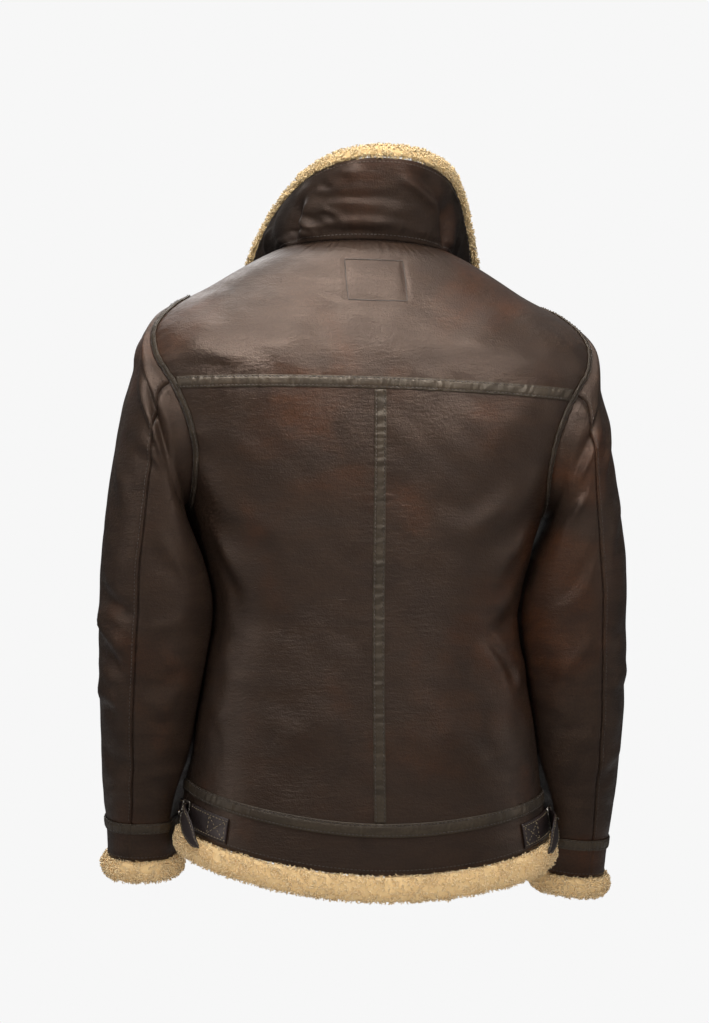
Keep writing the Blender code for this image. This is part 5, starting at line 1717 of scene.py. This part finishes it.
# %% Curls on the collar's inner face and its two front ends
COLLAR_FACE_CURLS, COLLAR_END_CURLS = 4500, 180
NECK_MIDDLE = np.array([0.0, -0.02, 0.05])
roots, normals = scatter(pile, COLLAR_FACE_CURLS, 61)
facing = np.sign(np.einsum("ij,ij->i", normals, unit(NECK_MIDDLE - roots)))
curls("collar_pile_curls", roots, normals * facing[:, None], 62, collar_fleece)
for number, end, beside in ((1, 0, 1), (2, -1, -2)):
    strip = np.stack([pile[:, end], under[:, end]], axis=1)
    roots, normals = scatter(strip, COLLAR_END_CURLS, 62 + number)
    out = unit((pile[:, end] - pile[:, beside]).mean(axis=0))
    curls(f"collar_end_curls_{number}", roots, normals * np.sign(normals @ out)[:, None],
          70 + number, collar_fleece)

# %% [markdown]
# ## Side adjusters
# On each side of the hem band a sewn tab holds a wire buckle with a prong. A strap comes
# from the side seam, passes through the buckle and hangs over the fleece with a rounded
# end. A strap is a ribbon on the band's own surface, so that it lies as the band does. The
# paths give how far along the band, how far off it and how far down each point is.

# %% Straps and tabs
ADJUSTER_LEVEL = -0.6085
BAND_RADIUS = 0.150
TAB_HALF = 0.0125
STRAP_HALF = 0.0095
STRAP_THICKNESS = 0.0016
TAB_PATH = [(0.106, 0.0006, 0.0), (0.084, 0.0006, 0.0), (0.065, 0.0006, 0.0),
            (0.050, 0.0008, 0.0), (0.0445, 0.0012, 0.0)]
STRAP_PATH = [(-0.028, 0.0006, 0.0), (-0.012, 0.0006, 0.0), (0.004, 0.0008, 0.0),
              (0.017, 0.0012, 0.0), (0.0255, 0.0016, 0.0), (0.033, 0.0050, 0.0),
              (0.0405, 0.0088, 0.0005), (0.050, 0.0115, 0.003), (0.061, 0.0120, 0.010),
              (0.072, 0.0115, 0.019), (0.081, 0.0105, 0.027)]
STRAP_TAPER = [1.0, 1.0, 1.0, 1.0, 1.0, 1.0, 1.0, 1.12, 1.28, 1.10, 0.20]
BUCKLE_AT = 0.033
BUCKLE_LIFT = 0.0052
BUCKLE_HALF_LENGTH = 0.0075
BUCKLE_HALF_HEIGHT = 0.0125
WIRE_RADIUS = 0.0012
EDGE_ACROSS = 0.78
RIBBON_ROWS, RIBBON_COLUMNS = 13, 90
CROSS_ALONG = (0.082, 0.103)
CROSS_HALF = 0.009


def band_point(along, lift, drop, side):
    """Point over the hem band, along from the side seam towards the back."""
    along, lift, drop = np.broadcast_arrays(*(np.asarray(v, float) for v in (along, lift, drop)))
    angle = 90 - np.degrees(along / BAND_RADIUS)
    level = ADJUSTER_LEVEL - drop
    normal = body_normal(angle, level)
    relief = body_relief(side * angle, np.maximum(level, HEM_LEVEL))
    point = body(angle, level) + normal * (lift + relief)[..., None]
    return place(point, side), mirrored(normal, side)


def ribbon(name, path, halves, side):
    """Strap along a path, crowned a little, with its sides drawn in at the edges. Returns
    its path and half width, for its stitches."""
    knots = np.linspace(0, 1, len(path))
    fine = np.linspace(0, 1, RIBBON_COLUMNS)
    along, lift, drop = (smooth_curve(knots, np.array(path)[:, k], fine) for k in range(3))
    half = smooth_curve(knots, np.array(halves), fine)
    across = np.linspace(-1, 1, RIBBON_ROWS)[:, None]
    grid_along = np.broadcast_to(along, (RIBBON_ROWS, RIBBON_COLUMNS))
    crown = 0.0004 * (1 - across**4) - 0.0003 * bell(np.abs(across) - EDGE_ACROSS, 0.1)
    points, normals = band_point(grid_along, lift + STRAP_THICKNESS + crown,
                                 drop + across * half, side)
    cut_piece(name, points, normals, [strap_leather], STRAP_THICKNESS)
    return along, lift, drop, half


adjuster_rows = []
for side, word in SIDES:
    tab = ribbon(f"tab_{word}", TAB_PATH, [TAB_HALF] * len(TAB_PATH), side)
    halves = STRAP_HALF * np.array(STRAP_TAPER)
    strap = ribbon(f"strap_{word}", STRAP_PATH, halves, side)
    for along, lift, drop, half in (tab, strap):
        for way in (-EDGE_ACROSS, EDGE_ACROSS):
            adjuster_rows.append(band_point(along, lift + STRAP_THICKNESS + 2e-4,
                                            drop + way * half, side))
    near, far = CROSS_ALONG
    for start, end, first, last in ((near, far, -1, 1), (near, far, 1, -1),
                                    (near, near, -1, 1), (far, far, -1, 1)):
        drops = np.linspace(first * CROSS_HALF, last * CROSS_HALF, 20)
        adjuster_rows.append(band_point(np.linspace(start, end, 20),
                                        0.0006 + STRAP_THICKNESS + 5e-4, drops, side))
sew("adjuster_stitches", adjuster_rows, tan_thread)


# %% Buckles and prongs
WIRE_SIDES = 12
BUCKLE_CORNER = 0.003
BUCKLE_TILT = 0.0016
PRONG_REACH = (-0.0075, 0.0, 0.0065)
PRONG_LIFT = (0.0096, 0.0100, 0.0138)


def wire(name, path, closed, radius):
    """Round wire along a path, standing for the node of its own name."""
    ahead = np.roll(path, -1, axis=0) - np.roll(path, 1, axis=0)
    if not closed:
        ahead[0], ahead[-1] = path[1] - path[0], path[-1] - path[-2]
    ahead = unit(ahead)
    helper = np.array([0.0, 0.0, 1.0]) if abs(ahead[0, 2]) < 0.9 else np.array([0.0, 1.0, 0.0])
    if closed:
        helper = unit(np.cross(path[3] - path[0], path[6] - path[0]))
    first = unit(np.cross(ahead, helper))
    second = np.cross(ahead, first)
    turn = np.arange(WIRE_SIDES) * 2 * math.pi / WIRE_SIDES
    grid = (path[:, None] + radius * (first[:, None] * np.cos(turn)[:, None]
                                      + second[:, None] * np.sin(turn)[:, None]))
    if not closed:
        first_end, last_end = (0.999 * path[k] + 0.001 * grid[k] for k in (0, -1))
        grid = np.concatenate([first_end[None], grid, last_end[None]])
    faces = grid_faces(len(grid), WIRE_SIDES, wrap=True, close=closed)
    points = grid.reshape(-1, 3)
    middle = np.repeat(grid.mean(axis=1), WIRE_SIDES, axis=0)
    faces = outward(points, faces, points - middle + 1e-9)
    thing = mesh_object(name, points, faces, [brass])
    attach(thing, JACKET)
    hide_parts(name)


def buckle_path(side):
    """Rounded rectangle of wire over the band, its back edge lower."""
    turns = np.radians(np.arange(0, 360, 15.0))
    cosine, sine = np.cos(turns), np.sin(turns)
    corner = BUCKLE_CORNER
    along = np.sign(cosine + 1e-9) * (BUCKLE_HALF_LENGTH - corner) + corner * cosine
    drop = np.sign(sine + 1e-9) * (BUCKLE_HALF_HEIGHT - corner) + corner * sine
    tilt = BUCKLE_TILT * along / BUCKLE_HALF_LENGTH
    return band_point(BUCKLE_AT + along, BUCKLE_LIFT - tilt, drop, side)[0]


for side, word in SIDES:
    wire(f"buckle_{word}", buckle_path(side), True, WIRE_RADIUS)
    reach, lifts = (smooth_curve(np.arange(3.0), np.array(values), np.linspace(0, 2, 12))
                    for values in (PRONG_REACH, PRONG_LIFT))
    path = band_point(BUCKLE_AT + reach, lifts, 0 * reach, side)[0]
    wire(f"prong_{word}", path, False, WIRE_RADIUS * 0.9)

# %% [markdown]
# ## Front zip
# The zip is closed. Its tapes lie behind the front edges, and its teeth meet in the gap
# between them: small blocks from either side in turn. The slider stays at the top of the
# chain. Its pull tab hangs on the slider's bridge and is the one piece that swings.

# %% Zip tapes and teeth
ZIP_TAPE_HALF = 0.013
ZIP_TAPE_THICKNESS = 0.0008
ZIP_TOP = -0.045
TOOTH_PITCH = 0.0026
TOOTH_ENDS = ((0.0030, 0.0009, -0.0033, -0.0013), (-0.0012, 0.0006, -0.0031, -0.0015))
levels, reach = np.meshgrid(np.linspace(HEM_LEVEL, ZIP_TOP, 180),
                            SEAM_GAP + (ZIP_TAPE_HALF - SEAM_GAP) * np.linspace(0, 1, 8))
angles = 180 - narrow(levels, reach)
normal = body_normal(angles, levels)
behind_front = body(angles, levels) + normal * -(LEATHER_WALL + 2 * SEAM_GAP)
for side, word in SIDES:
    cut_piece(f"zip_tape_{word}", place(behind_front, side), mirrored(normal, side),
              [zip_cloth], ZIP_TAPE_THICKNESS)


def zip_teeth():
    """Blocks alternately from the left and the right tape, each tapered to its tip. A row of
    TOOTH_ENDS is an end's place across, its half height and its two depths."""
    heights = np.linspace(HEM_LEVEL, ZIP_TOP, LINE_POINTS)
    lengths = arc_lengths(body(np.full((1, LINE_POINTS), 180.0), heights[None]), 1)[0]
    count = int(lengths[-1] / TOOTH_PITCH)
    at = np.interp((np.arange(count) + 0.5) * TOOTH_PITCH, lengths, heights)
    centre = place(body(np.full(count, 180.0), at), 1)
    out = body_normal(np.full(count, 180.0), at)
    right = np.broadcast_to(np.array([1.0, 0.0, 0.0]), out.shape)
    up = np.cross(out, right)
    way = np.where(np.arange(count) % 2 == 0, 1.0, -1.0)[:, None]
    corners = []
    for across, half_up, low, high in TOOTH_ENDS:
        for rise, lift in ((-1, low), (1, low), (1, high), (-1, high)):
            corners.append(centre + right * way * across + up * rise * half_up + out * lift)
    corners = np.stack(corners, axis=1)
    box = np.array([(0, 1, 2, 3), (7, 6, 5, 4), (0, 4, 5, 1), (1, 5, 6, 2), (2, 6, 7, 3),
                    (3, 7, 4, 0)])
    faces = (np.arange(count) * 8)[:, None, None] + box[None]
    flipped = faces[way[:, 0] > 0][:, :, ::-1]
    faces = np.concatenate([flipped, faces[way[:, 0] < 0]]).reshape(-1, 4)
    thing = mesh_object("zip_teeth", corners.reshape(-1, 3), faces, [brass], smooth=False)
    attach(thing, JACKET)
    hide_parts("zip_chain")
    print("zip teeth:", count)


zip_teeth()

# %% Slider and pull tab keep their solids' form, in antique brass
SHOWN_SOLIDS = ("zip_slider", "zip_pull")
for name in SHOWN_SOLIDS:
    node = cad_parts[name]
    node.data.materials.clear()
    node.data.materials.append(brass)

# %% Hide the solids that a made piece stands for
for name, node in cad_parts.items():
    if name not in SHOWN_SOLIDS:
        node.hide_render = True
        node.hide_viewport = True
print("cut pieces in all:", len(cuts))
for name, width, length, area in cuts:
    print(f"cut {name}: {width:.3f} x {length:.3f} m, area {area:.4f} m2")

# %% [markdown]
# ## Camera, floor and light
# The camera stands 3.6 m behind the jacket, a little to its left, level with the middle of
# the back, with a long lens. Soft light comes mostly from above, with strips at both sides
# that trace the sleeves and narrow lamps behind that brighten the yoke. The floor and the
# room look nearly white to the camera, but give off much less light than they seem to, so
# that the dark leather keeps its contrast.

# %% Camera
YAW = math.radians(7.0)
CAMERA_DISTANCE = 3.61
CAMERA_ASIDE = -0.012
CAMERA_Z = -0.2855
SENSOR_HEIGHT_MM = 24.0
LENS_MM = 78.94
forward = np.array([-math.sin(YAW), -math.cos(YAW), 0.0])
rightward = np.array([-math.cos(YAW), math.sin(YAW), 0.0])
where = -forward * CAMERA_DISTANCE + rightward * CAMERA_ASIDE
camera_data = bpy.data.cameras.new("camera")
camera_data.sensor_fit = "VERTICAL"
camera_data.sensor_height = SENSOR_HEIGHT_MM
camera_data.lens = LENS_MM
camera = bpy.data.objects.new("camera", camera_data)
camera.location = (where[0], where[1], CAMERA_Z)
camera.rotation_euler = (math.radians(90), 0, math.radians(180) - YAW)
bpy.context.scene.collection.objects.link(camera)
bpy.context.scene.camera = camera


# %% Floor
FLOOR_Z = -1.25
FLOOR_HALF = 30
SEEN_WHITE = (0.930, 0.930, 0.930, 1)
floor_material, floor_tree, floor_shader = new_material("white_floor")
floor_shader.inputs["Base Color"].default_value = (0.30, 0.30, 0.30, 1.0)
floor_shader.inputs["Roughness"].default_value = 0.9
seen = add_node(floor_tree, "ShaderNodeEmission", {"Color": SEEN_WHITE})
ray = add_node(floor_tree, "ShaderNodeLightPath").outputs["Is Camera Ray"]
both = add_node(floor_tree, "ShaderNodeMixShader", {0: ray, 1: floor_shader.outputs[0],
                                                    2: seen.outputs[0]})
floor_tree.links.new(both.outputs[0], floor_tree.nodes["Material Output"].inputs["Surface"])
floor_points = np.array([(x * FLOOR_HALF, y * FLOOR_HALF, FLOOR_Z)
                         for x, y in ((-1, -1), (1, -1), (1, 1), (-1, 1))], float)
floor = mesh_object("floor", floor_points, np.array([[0, 1, 2, 3]]), [floor_material])

# %% Room
world = bpy.data.worlds.new("room")
bpy.context.scene.world = world
world.use_nodes = True
tree = world.node_tree
tree.nodes.clear()
direction = add_node(tree, "ShaderNodeTexCoord").outputs["Generated"]
height = add_node(tree, "ShaderNodeSeparateXYZ", {0: direction}).outputs["Z"]
glow = add_node(tree, "ShaderNodeMapRange", {"Value": height, "From Min": -0.1,
                                             "From Max": 0.8, "To Min": 0.02,
                                             "To Max": 0.30}).outputs[0]
dim = add_node(tree, "ShaderNodeBackground", {"Color": (1, 1, 1, 1), "Strength": glow})
pale = add_node(tree, "ShaderNodeBackground", {"Color": SEEN_WHITE, "Strength": 1.0})
ray = add_node(tree, "ShaderNodeLightPath").outputs["Is Camera Ray"]
both = add_node(tree, "ShaderNodeMixShader", {0: ray, 1: dim.outputs[0], 2: pale.outputs[0]})
add_node(tree, "ShaderNodeOutputWorld", {"Surface": both.outputs[0]})

# %% Lights
# A row is metres aside, out and up, the height aimed at, the watts and the cone in degrees.
BACK_KEYS = [
    (-0.35, 1.90, 1.30, 0.50, 2.7, 44),
    (0.45, 1.90, 1.30, 0.50, 4.3, 44),
    (1.25, 1.90, 1.30, 0.50, 4.5, 44),
    (-0.90, 1.95, 0.45, 0.10, 1.0, 30),
]


def soft_light(name, place_at, aim, size, energy, glossy=True, spread=180):
    """Rectangular soft light at a place, turned towards its aim."""
    data = bpy.data.lights.new(name, "AREA")
    data.shape = "RECTANGLE"
    data.size, data.size_y = size
    data.energy = energy
    data.spread = math.radians(spread)
    thing = bpy.data.objects.new(name, data)
    thing.location = place_at
    thing.rotation_euler = (Vector(aim) - Vector(place_at)).to_track_quat("-Z", "Y").to_euler()
    thing.visible_glossy = glossy
    bpy.context.scene.collection.objects.link(thing)


soft_light("top", (0.25, 0.15, 2.3), (0.0, 0.0, -0.2), (2.6, 2.4), 105)
for number, (aside, out, up, aim_up, watts, cone) in enumerate(BACK_KEYS):
    soft_light(f"back_key_{number + 1}", (aside, out, up), (0.12 * aside, 0.1, aim_up),
               (0.8, 0.6), watts, spread=cone)
soft_light("low_fill", (0.0, 2.4, -1.1), (0.0, 0.0, -0.6), (2.4, 0.6), 38, glossy=False)
soft_light("left_strip", (2.9, 0.9, 0.2), (0.1, 0.0, -0.4), (0.8, 2.0), 12)
soft_light("right_strip", (-2.9, 0.9, 0.2), (-0.1, 0.0, -0.4), (0.8, 2.0), 8)
soft_light("front_fill", (0.6, -2.6, 1.6), (0.0, 0.0, -0.3), (2.2, 1.6), 26)
bpy.context.scene.view_settings.view_transform = "Standard"
bpy.context.scene.view_settings.look = "None"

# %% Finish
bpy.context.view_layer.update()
